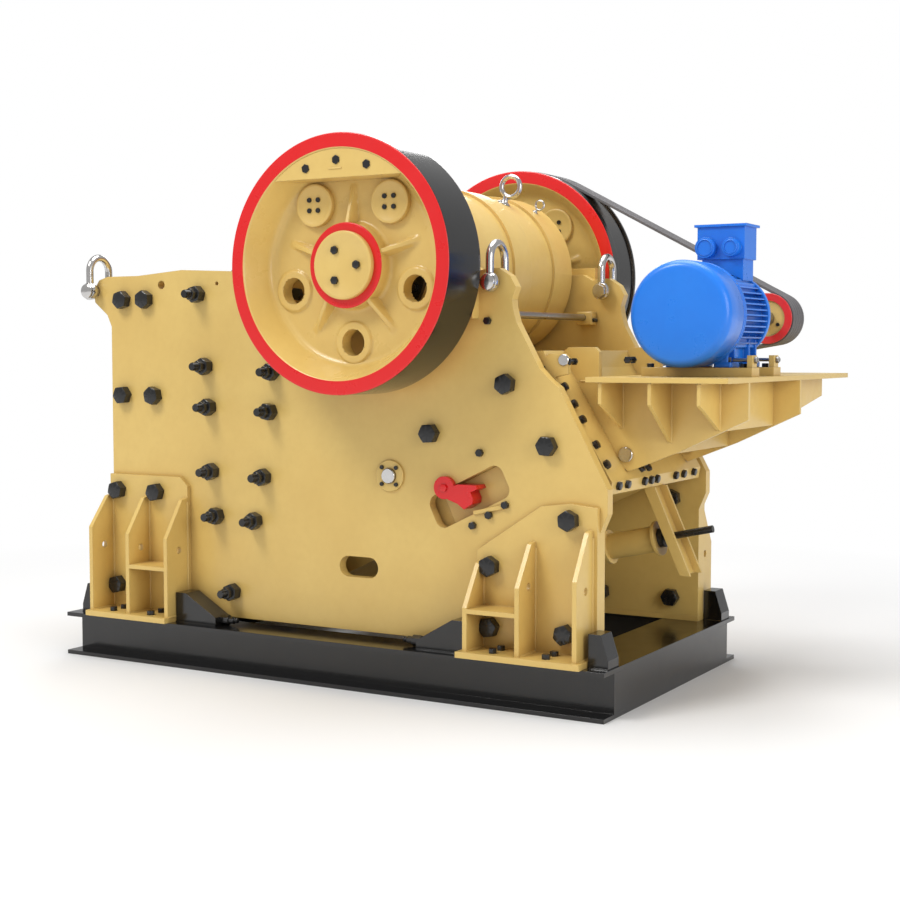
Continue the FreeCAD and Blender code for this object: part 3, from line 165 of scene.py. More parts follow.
def flipped(shape, axis):
    # mirror image in a plane through the origin, its faces turned round to point out again
    sign = np.ones(3)
    sign[axis] = -1
    return shape[0] * sign, [table[:, ::-1] for table in shape[1]]


def bothSides(shape):  # a shape and its mirror image across the machine
    return joined(shape, flipped(shape, 1))


def carried(path, section, normal, closed=False):
    # p(i, j) = path_i + x_j side_i + y_j normal, side at right angles to the path and its plane's normal
    path, section, normal = np.array(path, float), np.array(section, float), np.array(normal, float)
    if closed:
        way = np.roll(path, -1, 0) - np.roll(path, 1, 0)
    else:
        way = np.gradient(path, axis=0)
    way = way / np.linalg.norm(way, axis=1)[:, None]
    side = np.cross(way, normal)
    points = path[:, None] + section[None, :, :1] * side[:, None] + section[None, :, 1:] * normal
    points = points.reshape(-1, 3)
    if closed:
        return points, [sheetFaces(len(path), len(section), True)]
    return capped(points, len(path), len(section))


def circle(radius, sides=12):  # circular section
    a = np.linspace(0, 2 * np.pi, sides, endpoint=False)
    return np.stack([radius * np.cos(a), radius * np.sin(a)], 1)


def block(low, high, corner=0.006, edge=0.004):
    # block with rounded uprights: corner centres + (corner - d) (cos a, sin a), d = edge (1 - sin t) at
    # its ends
    low, high = np.minimum(low, high), np.maximum(low, high)
    mid, half = (low + high) / 2, (high - low) / 2
    corner = min(corner, half[0] * 0.98, half[1] * 0.98)
    edge = min(edge, corner * 0.95, half[2] * 0.9)
    a = (np.linspace(0, np.pi / 2, 5)[None] + np.arange(4)[:, None] * np.pi / 2).ravel()
    sx, sy = np.repeat([1, -1, -1, 1], 5), np.repeat([1, 1, -1, -1], 5)
    t = np.linspace(0, np.pi / 2, 4)
    inset = edge * (1 - np.sin(t))
    rise = edge * (1 - np.cos(t))
    inset = np.concatenate([inset, inset[::-1]])
    z = np.concatenate([low[2] + rise, high[2] - rise[::-1]])
    radius = (corner - inset)[:, None]
    x = mid[0] + sx * (half[0] - corner) + radius * np.cos(a)
    y = mid[1] + sy * (half[1] - corner) + radius * np.sin(a)
    points = np.stack([x, y, np.repeat(z[:, None], 20, 1)], -1)
    return capped(points.reshape(-1, 3), 8, 20)


def bead(start, end, normal, radius=0.006):
    # weld bead: a round section whose radius ripples, r (1 + 0.13 |sin(pi s / pitch)|), along a straight
    # line
    start, end = np.array(start, float), np.array(end, float)
    long = np.linalg.norm(end - start)
    s = np.linspace(0, long, max(3, int(long / 0.0045)))
    way = (end - start) / long
    side = np.cross(way, normal)
    a = np.linspace(0, 2 * np.pi, 8, endpoint=False)
    swell = radius * (1 + 0.13 * np.abs(np.sin(np.pi * s / 0.012)) + 0.05 * np.sin(s * 37))
    points = (start + s[:, None, None] * way + swell[:, None, None] * (
        np.cos(a)[None, :, None] * side + np.sin(a)[None, :, None] * np.array(normal, float)))
    return capped(points.reshape(-1, 3), len(s), 8)


def addPiece(name, shape, finish, body, sharp=32, stands=()):
    # mesh of the shape, in the finish of that slot, riding on a body
    points, tables = shape
    mesh = bpy.data.meshes.new(name)
    counts = np.concatenate([np.full(len(table), table.shape[1]) for table in tables])
    corners = np.concatenate([table.ravel() for table in tables])
    mesh.vertices.add(len(points))
    mesh.vertices.foreach_set("co", np.ascontiguousarray(points, np.float32).ravel())
    mesh.loops.add(len(corners))
    mesh.loops.foreach_set("vertex_index", corners.astype(np.int32))
    mesh.polygons.add(len(counts))
    mesh.polygons.foreach_set("loop_start", (np.cumsum(counts) - counts).astype(np.int32))
    mesh.polygons.foreach_set("use_smooth", np.ones(len(counts), bool))
    mesh.update(calc_edges=True)
    mesh.validate()
    mesh.set_sharp_from_angle(angle=math.radians(sharp))
    piece = bpy.data.objects.new(name, mesh)
    scene.collection.objects.link(piece)
    mesh.materials.append(finishes[finish])
    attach(piece, body)
    if stands:
        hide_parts(*stands)
    tally[name] = int((counts - 2).sum())
    return piece


dice = np.random.default_rng(11)
tally = {}


# finishes
def tone(red, green, blue):
    # linear colour of a screen colour
    c = np.array([red, green, blue]) / 255
    return (*np.where(c < 0.04045, c / 12.92, ((c + 0.055) / 1.055) ** 2.4), 1.0)


def put(tree, kind, inputs=(), **settings):
    node = tree.nodes.new("ShaderNode" + kind)
    for key, value in settings.items():
        setattr(node, key, value)
    for key, value in dict(inputs).items():
        if isinstance(value, bpy.types.NodeSocket):
            tree.links.new(value, node.inputs[key])
        else:
            node.inputs[key].default_value = value
    return node


def mixed(tree, share, first, second, blend="MIX"):
    return put(tree, "Mix", {0: share, 6: first, 7: second}, data_type="RGBA", blend_type=blend).outputs[2]


def spread(tree, value, low, high, start=0.0, end=1.0):
    keys = ("Value", "From Min", "From Max", "To Min", "To Max")
    return put(tree, "MapRange", dict(zip(keys, (value, low, high, start, end)))).outputs["Result"]


def sums(tree, kind, first, second=0.0):
    return put(tree, "Math", {0: first, 1: second}, operation=kind).outputs[0]


def grains(tree, place, scale, detail=3.0, rough=0.55, stretch=None):
    if stretch:
        place = put(tree, "Mapping", {"Vector": place, "Scale": stretch}).outputs[0]
    return put(tree, "TexNoise", {"Vector": place, "Scale": scale, "Detail": detail,
                                  "Roughness": rough}).outputs[0]


def fromAxis(tree, split, axis):
    # offsets from an axis along y, and the distance sqrt(dx^2 + dz^2)
    dx, dz = sums(tree, "SUBTRACT", split[0], axis[0]), sums(tree, "SUBTRACT", split[2], axis[2])
    square = sums(tree, "ADD", sums(tree, "MULTIPLY", dx, dx), sums(tree, "MULTIPLY", dz, dz))
    return dx, dz, sums(tree, "POWER", square, 0.5)


def newFinish(name, metallic=0.0, coat=0.0, coatRough=0.12, specular=0.5):
    material = bpy.data.materials.new(name)
    material.use_nodes = True
    tree = material.node_tree
    shader = tree.nodes["Principled BSDF"]
    shader.inputs["Metallic"].default_value = metallic
    shader.inputs["Coat Weight"].default_value = coat
    shader.inputs["Coat Roughness"].default_value = coatRough
    shader.inputs["Specular IOR Level"].default_value = specular
    place = put(tree, "TexCoord").outputs["Object"]
    finishes[name] = material
    return tree, shader, place


def finishCoat(tree, shader, place, colour, look):
    # broad mottle, dust and painted shade in hollows, worn edges with a painted edge highlight, roughness
    # patches, orange peel and cast grain
    broad = grains(tree, place, look["mottleScale"], 4.0)
    small = grains(tree, place, look["mottleScale"] * 11, 3.0)
    colour = mixed(tree, spread(tree, broad, 0.35, 0.65, 0, look["mottle"]), colour, look["shade"])
    colour = mixed(tree, spread(tree, small, 0.40, 0.75, 0, look["mottle"] * 0.5), colour, look["shade"])
    rounding = put(tree, "Bevel", {"Radius": look["edge"]}, samples=4)
    flat = put(tree, "NewGeometry").outputs["Normal"]
    bend = put(tree, "VectorMath", {0: rounding.outputs[0], 1: flat},
               operation="DOT_PRODUCT").outputs["Value"]
    # painted highlight: edges found from the bevel normal are lightened towards the edge tone, worn paint
    # and painted highlight together
    wornAndHighlitEdge = sums(tree, "MULTIPLY", spread(tree, bend, 0.985, 0.90), spread(tree, small, 0.42, 0.60))
    colour = mixed(tree, sums(tree, "MULTIPLY", wornAndHighlitEdge, look["wear"]), colour, look["edgeTone"])
    # painted shade: hollows found by ambient occlusion are darkened towards the dust tone, dust and painted
    # shade together
    hollow = put(tree, "AmbientOcclusion", {"Distance": look["hollowReach"]}, samples=6).outputs["AO"]
    dust = sums(tree, "MULTIPLY", spread(tree, hollow, 0.80, 0.30, 0, look["dust"]),
                spread(tree, broad, 0.2, 0.7, 0.6, 1))
    colour = mixed(tree, dust, colour, look["dustTone"])
    tree.links.new(colour, shader.inputs["Base Color"])
    patch = spread(tree, grains(tree, place, look["mottleScale"] * 3.7, 5.0), 0.3, 0.7,
                   look["rough"] - 0.05, look["rough"] + 0.07)
    tree.links.new(sums(tree, "ADD", patch, sums(tree, "MULTIPLY", dust, 0.25)), shader.inputs["Roughness"])
    peel = sums(tree, "MULTIPLY", grains(tree, place, look["peelScale"], 2.0), look["peel"])
    cast = sums(tree, "MULTIPLY", grains(tree, place, look["castScale"], 5.0, 0.6), look["cast"])
    bump = put(tree, "Bump", {"Height": sums(tree, "ADD", peel, cast), "Distance": 0.001, "Strength": 0.5,
                              "Normal": rounding.outputs[0]})
    tree.links.new(bump.outputs[0], shader.inputs["Normal"])


finishes = {}
# each coat's dust tone is the colour its hollows darken to, dust and painted shade together
# each coat's edge tone is the lighter colour its edges take, worn paint and a painted edge highlight
# together
coats = {
    "plain": dict(mottleScale=2.3, mottle=0.55, wear=0.35, edge=0.004, hollowReach=0.10, dust=0.55,
                  rough=0.36,
                  peelScale=520, peel=0.25, castScale=70, cast=0.5),
    "cream": dict(tone=tone(221, 189, 110), shade=tone(209, 174, 97), edgeTone=tone(240, 218, 160),
                  dustTone=tone(150, 112, 60)),
    "black": dict(tone=tone(13, 13, 14), shade=tone(18, 18, 19), edgeTone=tone(54, 54, 54),
                  dustTone=tone(50, 46, 40), dust=0.2, rough=0.17),
    "bolt": dict(tone=tone(20, 20, 21), shade=tone(28, 28, 29), edgeTone=tone(66, 66, 67),
                 dustTone=tone(34, 34,
                               34), dust=0.2, rough=0.28, edge=0.0012, wear=0.15, cast=0.1, peel=0.1),
    "red": dict(tone=tone(220, 14, 18), shade=tone(212, 11, 15), edgeTone=tone(232, 60, 56),
                dustTone=tone(110, 12, 12), rough=0.26),
    "blue": dict(tone=tone(26, 124, 230), shade=tone(20, 112, 220), edgeTone=tone(90, 165, 246),
                 dustTone=tone(14, 66, 150), rough=0.30, cast=0.3),
    "liner": dict(tone=tone(128, 120, 112), shade=tone(96, 86, 78), edgeTone=tone(176, 172, 166),
                  dustTone=tone(70, 56, 44), rough=0.55, cast=1.6, wear=0.8, mottle=0.8),
    "iron": dict(tone=tone(120, 118, 118), shade=tone(96, 94, 94), edgeTone=tone(170, 168, 166),
                 dustTone=tone(52, 48, 46), rough=0.42),
    "rubber": dict(tone=tone(104, 102, 104), shade=tone(84, 82, 84), edgeTone=tone(132, 130, 130),
                   dustTone=tone(34, 33, 34), rough=0.62, peel=0.6, hollowReach=0.012, dust=0.9),
    "chrome": dict(tone=tone(214, 212, 210), shade=tone(190, 188, 186), edgeTone=tone(235, 235, 235),
                   dustTone=tone(90, 84, 76), rough=0.17, edge=0.0015, cast=0.15, peel=0.1),
    "steel": dict(tone=tone(176, 174, 172), shade=tone(150, 148, 146), edgeTone=tone(215, 215, 214),
                  dustTone=tone(80, 66, 52), rough=0.30, cast=0.1),
}


def coat(key):
    return {**coats["plain"], **coats[key]}


def plainFinish(slot, key, **settings):
    tree, shader, place = newFinish(slot, **settings)
    finishCoat(tree, shader, place, coat(key)["tone"], coat(key))


def wheelFinish():
    # cream dish, red rings on the rim's faces and round the hub cover, black tread, by distance from the
    # shaft
    tree, shader, place = newFinish("wheel_paint", coat=0.25)
    split = put(tree, "SeparateXYZ", {0: place}).outputs
    far = fromAxis(tree, split, shaft)[2]
    deep = sums(tree, "SUBTRACT", wheelFace, sums(tree, "ABSOLUTE", split[1]))  # depth below the outer face
    face = sums(tree, "MAXIMUM", spread(tree, deep, 0.0036, 0.0030), spread(tree, deep, 0.2794, 0.2800))
    rim = spread(tree, far, 0.5205, 0.5213)
    tread = sums(tree, "MULTIPLY", spread(tree, far, 0.555, 0.5555), sums(tree, "SUBTRACT", 1.0, face))
    hub = sums(tree, "MULTIPLY", spread(tree, deep, 0.0800, 0.0795), spread(tree, deep, 0.070, 0.0705))
    hub = sums(tree, "MULTIPLY", hub, sums(tree, "MULTIPLY", spread(tree, far, 0.150, 0.1505),
                                           spread(tree, far, 0.1955, 0.195)))
    red = sums(tree, "MAXIMUM", sums(tree, "MULTIPLY", face, rim), hub)
    colour = mixed(tree, red, coat("cream")["tone"], coat("red")["tone"])
    colour = mixed(tree, tread, colour, coat("black")["tone"])
    shade = mixed(tree, red, coat("cream")["shade"], coat("red")["shade"])
    shade = mixed(tree, tread, shade, coat("black")["shade"])
    look = {**coat("cream"), "shade": shade, "rough": 0.30, "edge": 0.005, "dust": 0.30, "wear": 0.15}
    finishCoat(tree, shader, place, colour, look)
    gloss = tree.nodes.new("ShaderNodeMapRange")  # the tread is glossier than the dish
    tree.links.new(tread, gloss.inputs["Value"])
    gloss.inputs["To Min"].default_value, gloss.inputs["To Max"].default_value = 0.0, 0.16
    rough = shader.inputs["Roughness"].links[0].from_socket
    tree.links.new(sums(tree, "SUBTRACT", rough, gloss.outputs[0]), shader.inputs["Roughness"])


bearing = dict(drum=0.290, padFace=skin + 0.062, below=0.239, above=0.046)


def bearingFinish():
    # black, and cream on the bearing pads: outside the drum's radius, within the pads' depth and box
    tree, shader, place = newFinish("black_paint", coat=0.2)
    low, high = boxOf("bearing_housing_far")
    split = put(tree, "SeparateXYZ", {0: place}).outputs
    dx, dz, far = fromAxis(tree, split, shaft)
    across = sums(tree, "ABSOLUTE", split[1])
    half = (high[0] - low[0]) / 2 + 0.001
    padLow, padHigh = -bearing["below"] - 0.001, bearing["above"] + 0.001
    pad = sums(tree, "MULTIPLY", spread(tree, across, bearing["padFace"] + 0.0006,
                                        bearing["padFace"] + 0.0002),
               spread(tree, across, skin - 0.0006, skin - 0.0002))
    pad = sums(tree, "MULTIPLY", pad, spread(tree, far, bearing["drum"] + 0.0005, bearing["drum"] + 0.0010))
    pad = sums(tree, "MULTIPLY", pad, spread(tree, sums(tree, "ABSOLUTE", dx), half, half - 0.0005))
    pad = sums(tree, "MULTIPLY", pad, spread(tree, dz, padLow, padLow + 0.0005))
    pad = sums(tree, "MULTIPLY", pad, spread(tree, dz, padHigh, padHigh - 0.0005))
    colour = mixed(tree, pad, coat("bolt")["tone"], coat("cream")["tone"])
    shade = mixed(tree, pad, coat("bolt")["shade"], coat("cream")["shade"])
    finishCoat(tree, shader, place, colour, {**coat("bolt"), "shade": shade})


def pulleyFinish():
    # cream hub, red ring and grooved iron, by distance from the motor's axis and place across the pulley
    tree, shader, place = newFinish("pulley_iron", coat=0.1)
    low, high = boxOf("motor_pulley")
    split = put(tree, "SeparateXYZ", {0: place}).outputs
    far = fromAxis(tree, split, motor)[2]
    face = sums(tree, "MAXIMUM", spread(tree, split[1], low[1] + 0.006, low[1] + 0.0055),
                spread(tree, split[1], high[1] - 0.006, high[1] - 0.0055))
    hub = spread(tree, far, 0.0905, 0.0900)
    red = sums(tree, "MAXIMUM", face, sums(tree, "MULTIPLY", spread(tree, far, 0.0895, 0.090),
                                           spread(tree, far, 0.1125, 0.112)))
    colour = mixed(tree, red, coat("iron")["tone"], coat("red")["tone"])
    colour = mixed(tree, hub, colour, coat("cream")["tone"])
    finishCoat(tree, shader, place, colour, {**coat("iron"), "mottle": 0.25})


plainFinish("crusher_cream", "cream", coat=0.15)
plainFinish("skid_black", "black", coat=0.3)
bearingFinish()
plainFinish("red_paint", "red", coat=0.3)
plainFinish("motor_blue", "blue", coat=0.15)
plainFinish("manganese_steel", "liner", metallic=0.55)
plainFinish("belt_rubber", "rubber", specular=0.35)
plainFinish("bright_plating", "chrome", metallic=1.0)
plainFinish("machined_steel", "steel", metallic=1.0)
wheelFinish()
pulleyFinish()
for name, node in nodes.items():
    node.data.materials.clear()
    node.data.materials.append(finishes[slotOf[name]])
print("finishes:", ", ".join(finishes))

# bolts, nuts and washers
bolts = dict(frameAcross=0.082, frameHigh=0.046, studAcross=0.076, studProud=0.118, smallAcross=0.032)


def hexBolt(across, high, sides=24):
    # hexagon whose corners are cut by a cone: r = min(cone(t), across / 2 / cos a)
    full = across / 2 / math.cos(math.pi / 6)
    head = [(full, 0), (full, high * 0.86), (full * 0.965, high * 0.94), (across * 0.47, high),
            (across * 0.10, high)]
    return lathe(head, sides, hexagon(across))


def studSet(across, proud, sides=24):
    # thick nut, a smaller lock nut and the end of the stud, whose thread ripples its radius
    nuts = []
    for size, low, high in ((across, 0.0, 0.050), (across * 0.70, 0.050, 0.080)):
        full = size / 2 / math.cos(math.pi / 6)
        nuts.append(lathe([(full * 0.97, low), (full, low + 0.003), (full, high - 0.006),
                           (full * 0.97, high - 0.002),
                           (size * 0.47, high), (size * 0.2, high)], sides, hexagon(size)))
    r = across * 0.28
    thread = [(r * (1 - 0.045 * (k % 2)), h) for k, h in enumerate(np.linspace(0.080, proud - 0.004, 18))]
    return joined(*nuts, lathe([*thread, (r * 0.86, proud), (r * 0.2, proud)], 20))


def capScrew(radius, high, sides=16):
    # round head with a hexagon socket sunk in it
    top = lathe([(radius, 0), (radius, high * 0.8), (radius * 0.93, high), (radius * 0.62, high)], sides)
    socket = lathe([(radius * 0.60, high - 0.0002), (radius * 0.58, high * 0.98),
                    (radius * 0.10, high * 0.6)], 12)
    return joined(top, socket)


def onSide(spots, y=None):  # (x, z) places on the near side plate
    spots = np.array(spots, float)
    return np.stack([spots[:, 0], np.full(len(spots), -(skin if y is None else y)), spots[:, 1]], 1)


def ringOn(axis, radius, degrees, y):  # points at even heights y on a circle about an axis along y
    a = np.radians(np.atleast_1d(degrees).astype(float))
    return np.stack([axis[0] + radius * np.cos(a), np.full(len(a), y), axis[2] + radius * np.sin(a)], 1)


near = (0, -1, 0)
plateSpots = [(-1.287, 1.852), (-1.135, 1.852), (-1.290, 1.358), (-1.083, 1.358), (0.970, 1.440),
              (0.574, 1.208)]
footSpots = [(-1.313, 0.862), (-1.055, 0.862), (-1.320, 0.365), (-0.938, 0.365), (1.300, 0.845),
             (0.904, 0.616), (0.904, 0.338), (1.282, 0.338)]
big = hexBolt(bolts["frameAcross"], bolts["frameHigh"])
plateBolts = repeated(big, onSide([*plateSpots, (1.180, 1.168)]), near)
frameFootBolts = repeated(big, onSide(footSpots, footSkin), near)
addPiece("frame_bolts", bothSides(joined(plateBolts, frameFootBolts)), "black_paint", "frame")
studSpots = [(-0.790, 1.872), (-0.745, 1.510), (-0.725, 1.305), (-0.710, 0.980), (-0.680, 0.757),
             (-0.580, 0.378),
             (-0.330, 1.485), (-0.345, 1.290), (-0.385, 0.965), (-0.440, 0.745)]
stud = studSet(bolts["studAcross"], bolts["studProud"])
addPiece("frame_studs", bothSides(repeated(stud, onSide(studSpots), near)), "black_paint", "frame")
small = hexBolt(bolts["smallAcross"], 0.020, 12)
smallSpots = [(0.874, 1.724), (0.834, 1.126), (0.966, 0.894), (0.882, 0.844), (0.798, 0.792)]
addPiece("side_plate_screws", bothSides(repeated(small, onSide(smallSpots), near)), "black_paint", "frame")
# lock pins of the frame: a light pin in a cream collar held by four screws
collar = lathe([(0.073, 0), (0.075, 0.003), (0.075, 0.010), (0.072, 0.013), (0.038, 0.013),
                (0.0375, 0.011)], 40)
addPiece("pin_collars", bothSides(repeated(collar, onSide([(0.352, 1.002)]), near, 0)), "crusher_cream",
         "frame")
pinEnd = lathe([(0.036, 0), (0.036, 0.018), (0.033, 0.021), (0.01, 0.021)], 32)
addPiece("pin_ends", bothSides(repeated(pinEnd, onSide([(0.352, 1.002)], skin + 0.008), near, 0)),
         "bright_plating", "frame")
quarter = np.arange(4) * np.pi / 2 + np.pi / 4
ringSpots = np.stack([0.352 + 0.056 * np.cos(quarter), 1.002 + 0.056 * np.sin(quarter)], 1)
addPiece("pin_screws", bothSides(repeated(capScrew(0.010, 0.010), onSide(ringSpots, skin + 0.012), near)),
         "black_paint", "frame")
print("frame bolts placed")


# flywheels
wheel = dict(wide=0.283, rim=0.585, rimIn=0.518, dish=0.450, web=0.151, webBack=0.199, hub=0.194,
             hubDeep=0.075, hubBack=0.269, bore=0.0952, seat=0.010, seatFrom=0.022, seatTo=0.218,
             holes=0.348, hole=0.061, boss=0.095, bossHigh=0.012, ribOut=0.372, ribHigh=0.064,
             ribHalf=0.011, turns=318, step=0.0068, snap=0.0036)


def wheelBody(seated):
    # (r(t), a) surface of a closed profile; its depth d becomes min(d, web - rise(r, a)) where ribs and
    # bosses rise from the web, and points inside a hole's circle go to that circle, half way through the
    # web
    w = wheel
    rim = [(w["rim"], 0.0), (w["rim"], w["wide"])]
    cuts = [0.005, 0.005]
    if seated:
        seat = w["rim"] - w["seat"]
        rim[1:1] = [(w["rim"], w["seatFrom"]), (seat, w["seatFrom"]), (seat, w["seatTo"]),
                    (w["rim"], w["seatTo"])]
        cuts = [0.005, 0.002, 0.002, 0.002, 0.002, 0.005]
    corners = [(w["bore"], w["hubDeep"]), (w["hub"], w["hubDeep"]), (w["hub"], w["web"]),
               (w["dish"], w["web"]),
               (w["rimIn"], 0.0), *rim, (w["rimIn"], w["wide"]), (w["dish"], w["webBack"]),
               (w["hub"], w["webBack"]), (w["hub"], w["hubBack"]), (w["bore"], w["hubBack"])]
    cuts = [0.002, 0.006, 0.022, 0.035, 0.006, *cuts, 0.006, 0.035, 0.022, 0.006, 0.002]
    path = divided(soft(corners, cuts, 5), w["step"], closed=True)
    keep = np.linalg.norm(path - np.roll(path, 1, 0), axis=1) > 1e-6
    path = path[keep]
    r, d = path[:, :1], path[:, 1:]
    a = np.linspace(0, 2 * np.pi, w["turns"], endpoint=False)[None]
    x, z = r * np.cos(a), r * np.sin(a)
    outer = d < (w["web"] + w["webBack"]) / 2
    inDish = (r < w["rimIn"]) & (r >= w["hub"] - 0.001)
    ribAt = np.radians([90, 18, -54, -126, 162])[:, None, None]
    along, across = r * np.cos(a - ribAt), r * np.sin(a - ribAt)
    share = np.clip((w["ribOut"] - along) / (w["ribOut"] - w["hub"]), 0, 1)
    flank = np.clip((w["ribHalf"] + 0.013 - np.abs(across)) / 0.016, 0, 1)
    ribs = (w["ribHigh"] * share ** 0.9 * flank ** 2 * (3 - 2 * flank) * (along > 0)).max(0)
    holeAt = np.radians([-90, -18, -162])[:, None, None]
    hx, hz = w["holes"] * np.cos(holeAt), w["holes"] * np.sin(holeAt)
    apart = np.hypot(x - hx, z - hz)
    edge = np.clip((w["boss"] + 0.006 - apart) / 0.010, 0, 1)
    bosses = (w["bossHigh"] * edge ** 2 * (3 - 2 * edge)).max(0)
    rise = np.maximum(ribs, bosses)
    depth = d + 0 * a
    lifted = np.where(outer, np.minimum(depth, w["web"] - rise),
                      np.maximum(depth, w["webBack"] + rise * 0.8))
    depth = np.where(inDish & (rise > 1e-4), lifted, depth)
    middle = (w["web"] + w["webBack"]) / 2
    for k in range(3):
        s, dx, dz = apart[k], x - hx[k], z - hz[k]
        web = inDish & (np.abs(depth - middle) < 0.06)
        snapped = web & (s < w["hole"] + w["snap"])
        sunk = web & (s < w["hole"] - w["snap"])
        grow = np.where(snapped, w["hole"] / np.maximum(s, 1e-6), 1.0)
        x, z = hx[k] + dx * grow, hz[k] + dz * grow
        depth = np.where(sunk, middle, depth)
        gone = sunk if k == 0 else gone | sunk
    faces = sheetFaces(len(path), w["turns"], True)
    faces = faces[~gone.ravel()[faces].all(1)]
    points = np.stack([x, -(wheelFace - depth), z], -1).reshape(-1, 3) + shaft
    return points, [faces]


def roundCover(radius, high):  # disc with a rounded edge and a shallow turned step near it
    return lathe([(radius, 0), (radius, high - 0.005), (radius - 0.0015, high - 0.0015),
                  (radius - 0.005, high),
                  (radius - 0.014, high), (radius - 0.016, high - 0.0012), (0.02, high - 0.0012)], 64)


def aroundShaft(radius, degrees, y):
    return ringOn(shaft, radius, degrees, -y)


def wheelFittings(outside):
    # covers over two of the dish's places and on the hub, with their screws; outside or inside of the web
    web, way = (wheelFace - wheel["web"], near) if outside else (wheelFace - wheel["webBack"], (0, 1, 0))
    sign = 1 if outside else -1
    high = 0.027 if outside else 0.020
    middles = aroundShaft(wheel["holes"], [54, 126], web)
    covers = [repeated(roundCover(0.099, high), middles, way, 0)]
    ringOf = np.radians([45, 135, 225, 315])
    offsets = 0.034 * np.stack([np.cos(ringOf), 0 * ringOf, np.sin(ringOf)], 1)
    spots = (middles[:, None] + offsets[None]).reshape(-1, 3) + [0, -sign * (high - 0.0012), 0]
    screws = [repeated(capScrew(0.0115, 0.007), spots, way)]
    if outside:
        hub = wheelFace - wheel["hubDeep"]
        covers.append(placed(roundCover(0.155, 0.025), shaft + [0, -hub, 0], way))
        spots = aroundShaft(0.078, [0, 120, 240], hub + 0.0238)
        screws.append(repeated(hexBolt(0.034, 0.012, 12), spots, way))
        flat = wheelFace - 0.006
        across = np.array([(-0.165, 0.434), (0.0, 0.465), (0.162, 0.436)])
        spots = np.stack([shaft[0] + across[:, 0], np.full(3, -flat), shaft[2] + across[:, 1]], 1)
        screws.append(repeated(hexBolt(0.036, 0.005, 12), spots, way))
        covers.append(block(shaft + [-0.040, -flat - 0.004, 0.424], shaft + [0.030, -flat + 0.002, 0.432],
                            0.0015))
    return joined(*covers), joined(*screws)


outerCovers, outerScrews = wheelFittings(True)
innerCovers, innerScrews = wheelFittings(False)
for side, seated in (("near", False), ("far", True)):
    body = wheelBody(seated)
    covers, screws = joined(outerCovers, innerCovers), joined(outerScrews, innerScrews)
    if side == "far":
        body, covers, screws = flipped(body, 1), flipped(covers, 1), flipped(screws, 1)
    addPiece(f"flywheel_{side}_body", body, "wheel_paint", "rotor", stands=[f"flywheel_{side}"])
    addPiece(f"flywheel_{side}_covers", covers, "crusher_cream", "rotor", stands=[f"wheel_covers_{side}"])
    addPiece(f"flywheel_{side}_screws", screws, "black_paint", "rotor")
print("flywheels built:", tally["flywheel_far_body"], "triangles on one")


# motor: finned body, fan cover, terminal box details, pulley and belt
motorSizes = dict(front=-0.175, rear=0.250, tip=0.195, root=0.163, finPitch=0.0255, finHalf=0.0045,
                  fanFront=-0.410, footHalf=0.158, footFrom=1.514)


def finSection():
    # comb in each quarter: across the quarter the wall is sqrt(root^2 - s^2), and sqrt(tip^2 - s^2) on a
    # fin
    m = motorSizes
    middles = np.arange(-5, 6) * m["finPitch"]
    s = (middles[:, None] + np.array([-1, -0.75, 0.75, 1]) * m["finHalf"]).ravel()
    reach = np.tile([m["root"], m["tip"], m["tip"], m["root"]], len(middles))
    out = np.sqrt(reach ** 2 - s ** 2)
    turn = np.arange(4) * np.pi / 2
    x = np.cos(turn)[:, None] * out - np.sin(turn)[:, None] * s
    z = np.sin(turn)[:, None] * out + np.cos(turn)[:, None] * s
    return np.stack([x.ravel(), z.ravel()], 1)


def motorBarrel():
    # the comb carried along the axis; its fins sink to the root circle at both ends
    section = finSection()
    m = motorSizes
    y = np.array([m["front"] + 0.02, m["front"] + 0.034, m["rear"] - 0.034, m["rear"] - 0.02])
    size = np.linalg.norm(section, axis=1)
    share = np.array([0.0, 1.0, 1.0, 0.0])[:, None]
    length = np.minimum(size, m["root"])[None] * (1 - share) + size[None] * share
    unit = section / size[:, None]
    points = np.stack([motor[0] + unit[None, :, 0] * length, np.repeat(y[:, None], len(size), 1),
                       motor[2] + unit[None, :, 1] * length], -1).reshape(-1, 3)
    points, faces = capped(points, 4, len(size))
    return points, [table[:, ::-1] for table in faces]


def alongMotor(profile, sides=72):  # lathe on the motor's axis, heights along +y
    return placed(lathe(profile, sides), (motor[0], 0, motor[2]), (0, 1, 0))


m = motorSizes
front, rear = m["front"], m["rear"]
endRings = joined(
    alongMotor([(0.150, front - 0.002), (0.196, front), (0.200, front + 0.004), (0.200, front + 0.022),
                (0.196, front + 0.026), (0.160, front + 0.028)]),
    alongMotor([(0.160, rear - 0.028), (0.196, rear - 0.026), (0.199, rear - 0.022),
                (0.199, rear - 0.004), (0.180, rear), (0.180, rear + 0.022), (0.170, rear + 0.034),
                (0.110, rear + 0.037), (0.105, rear + 0.040), (0.105, rear + 0.074),
                (0.099, rear + 0.081), (0.0356, rear + 0.081)]))
addPiece("motor_barrel", joined(motorBarrel(), endRings), "motor_blue", "frame", stands=["motor_body"])
footParts = []
for fx in (-1, 1):
    for fy in (m["front"] + 0.062, m["rear"] - 0.075):
        x0, x1 = motor[0] + fx * m["footHalf"], motor[0] + fx * 0.072
        footParts += [block((x0, fy - 0.055, m["footFrom"]), (x1, fy + 0.055, m["footFrom"] + 0.024), 0.012)]
        for rib in (-0.047, 0.047):
            low = (motor[0] + fx * 0.140, fy + rib - 0.007, m["footFrom"] + 0.020)
            footParts.append(block(low, (motor[0] + fx * 0.092, fy + rib + 0.007, m["footFrom"] + 0.150),
                                   0.005))
    long = (motor[0] + fx * 0.112, m["front"] + 0.010, m["footFrom"] + 0.020)
    footParts.append(block(long, (motor[0] + fx * 0.096, m["rear"] - 0.022, m["footFrom"] + 0.135), 0.005))
